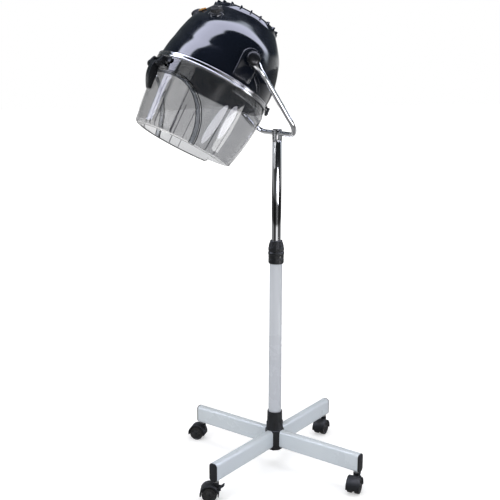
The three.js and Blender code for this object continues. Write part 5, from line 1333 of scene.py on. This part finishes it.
flap = carved(visor_shell(), arch_block(1, 1), "INTERSECT")
front_ribs = [wall_rib(side * 28, -120, -226, 14, 0.5) for side in (-1, 1)]
front_ribs += [wall_rib(side * 52.5, -138, -226, 2.0, 0.7) for side in (-1, 1)]
flap = carved(flap, together(*front_ribs), "UNION")
piece("flap_shell", at(flap, hood), smoked_flap, "flap", "smoked_acrylic", "visor_flap", sharp=50)


def edge_band(outer, inner, proud, low=-238.0):
    """A strip that follows the arch on the wall's outside, between two pairs of insets."""
    skin_shell = carved(visor_shell(proud, -0.05), arch_block(*outer, low=low), "INTERSECT")
    return carved(skin_shell, arch_block(*inner))


# The flap's painted shade strips, at its edge and inside its doubled band.
flap_shade_strips = together(edge_band((1.2, 1.2), (2.8, 2.2), 0.9), edge_band((11.6, 6.2), (13.4, 7.6), 0.9))
piece("flap_painted_shade_lines", at(flap_shade_strips, hood), painted_shade_strips, "flap", "smoked_acrylic", sharp=50)
doubled = at(edge_band((2.9, 2.3), (11.5, 6.1), 0.7), hood)
piece("flap_doubled_edge", doubled, smoked_double, "flap", "smoked_acrylic", sharp=50)
# The visor's painted shade strip round the arch.
frame_shade_strip = edge_band((-2.4, -2.2), (-0.4, -0.4), 0.8)
piece("visor_painted_shade_line", at(frame_shade_strip, hood), painted_shade_strips, "hood", "smoked_acrylic", sharp=50)

# ---- Hinge bracket, pin and flap handle
# A curved black bracket under the trim ring with two lugs; a steel pin through them carries the
# handle's barrel. The handle is one black moulding, riveted to the flap, that ends in a point.
trim_black = moulded_plastic(
    "trim_black", (0.006, 0.007, 0.009), (0.04, 0.04, 0.045), 0.14,
    pebble=500.0, depth=0.05, dust=0.04, shine=0.35,
)
plate_angles = [radians(a) for a in range(-22, 23, 2)]
outer_line = [(148.1 * sin(a), -148.1 * cos(a)) for a in plate_angles]
inner_line = [(144.6 * sin(a), -144.6 * cos(a)) for a in reversed(plate_angles)]
bracket = at(plate(outer_line + inner_line, 11, ease=1.1, segments=3), shift(z=-88))
HINGE = shift(y=-150.5, z=-97)
LUG_APART = 31.8
lugs = []
for side in (-1, 1):
    lug = [(9 * cos(radians(a)), 9 * sin(radians(a))) for a in range(140, 361, 10)]
    lug = plate(lug + [(8.2, 19), (-2, 19)], 14, ease=1.6, segments=4)
    lugs.append(at(lug, HINGE, shift(x=side * LUG_APART - 7), turn(90, "Y"), turn(90, "Z")))
    cheek_outline = [(2.3, -7), (5.4, -7), (5.4, 7.4), (2.3, 7.4)]
    cheek = turned(eased(cheek_outline, 0.5, closed=True), 48, closed=True)
    lugs.append(at(cheek, HINGE, shift(x=side * LUG_APART), turn(90 * side, "Y")))


def inside_wall(low):
    """All the room within the visor's wall, down to a height, with 0.3 mm of clearance."""
    line = [(0, low), (wall_radius(low) + 0.3, low), (144.3, SHOULDER), (144.3, -60), (0, -60)]
    return turned(line, 180)


bracket = each_carved([bracket, *lugs], inside_wall(-130))
piece("hinge_plate", at(bracket, hood), trim_black, "hood", "black_plastic", "hinge_bracket")
hinge_pin = turned(eased([(0, -38.8), (2, -38.8), (2, 38.8), (0, 38.8)], 0.7), 40)
piece("hinge_rod", at(hinge_pin, hood, HINGE, turn(90, "Y")), zinc, "hood", "steel", "hinge_pin")

barrel_outline = [(2.3, -24.3), (7.5, -24.3), (7.5, 24.3), (2.3, 24.3)]
barrel = turned(eased(barrel_outline, 1.0, closed=True), 64, closed=True)
barrel = at(barrel, HINGE, turn(90, "Y"))
fin_outside = [
    (-157.4, -92), (-159.6, -102), (-159.8, -114), (-157.2, -128), (-150.6, -143), (-141.6, -158),
]
fin_line = [*through(fin_outside, 5), (-134, -158), (-139, -112), (-146, -95)]
fin = plate(fin_line, 26, ease=3.4, segments=4)
fin = at(fin, shift(x=-13), turn(90, "Y"), turn(90, "Z"))
handle = each_carved([barrel, fin], inside_wall(-170))
rivets = []
rivet_outline = [(0, -1), (2.6, -1), (2.6, 0.6), (1.4, 1.4), (0, 1.5)]
for side in (-1, 1):
    rivet = turned(eased(rivet_outline, 0.4), 32)
    on_wall = shift(x=wall_radius(-126) + 0.4, z=-126)
    rivets.append(at(rivet, turn(side * 7.2 - 90, "Z"), on_wall, turn(84.3, "Y")))
piece("handle_moulding", at(handle, hood), trim_black, "flap", "black_plastic", "flap_handle")
piece("handle_rivets", at(together(*rivets), hood), zinc, "flap", "steel")

# ---- Pivot bolts and knobs
# A zinc-plated bolt passes through each boss and the yoke's eye into a round-topped black
# hand knob, which clamps the hood at its angle.
for name, side in (("left", -1), ("right", 1)):
    knob_outline = [(4.3, 157.8), (16, 157.8), (17.5, 159.3), (17.5, 163.2)]
    knob_outline += [(17.5 * cos(radians(a)), 162.8 + 9.5 * sin(radians(a))) for a in range(10, 81, 10)]
    knob_outline += [(0, 172.3), (0, 168.6), (4.3, 168.6)]
    knob = turned(eased(knob_outline, 0.5) + [Vector((4.3, 157.8))], 96)
    notches = [
        at(block((3, 2.2, 8), 0.9), turn(30 * i, "Z"), shift(x=18.3, z=160.5)) for i in range(12)
    ]
    knob = carved(knob, together(*notches))
    knob = at(knob, pivot, turn(90 * side, "Y"))
    node = f"pivot_knob_{name}"
    piece(f"clamp_knob_{name}", knob, trim_black, f"pivot_knob_{name}", "black_plastic", node)
    dress(f"pivot_bolt_{name}", zinc)

# ---- Band clasp
# The trim band is closed at the back by a small black clasp with a screw.
clasp = block((7, 12, 20), 1.4, 3)
clasp_at = hood @ turn(153 - 90, "Z") @ shift(x=152.2, z=-71)
screw = turned(eased([(0, 0), (2.8, 0), (2.8, 1.2), (2.2, 1.8), (0, 1.8)], 0.4), 32)
screw = carved(screw, at(block((6, 0.8, 1.4), 0.1, 1), shift(z=1.8)))
piece("band_clasp", at(clasp, clasp_at), black_moulding, "hood", "black_plastic")
piece("clasp_screw", at(screw, clasp_at, shift(x=3.4, z=-4), turn(90, "Y")), zinc, "hood", "steel")
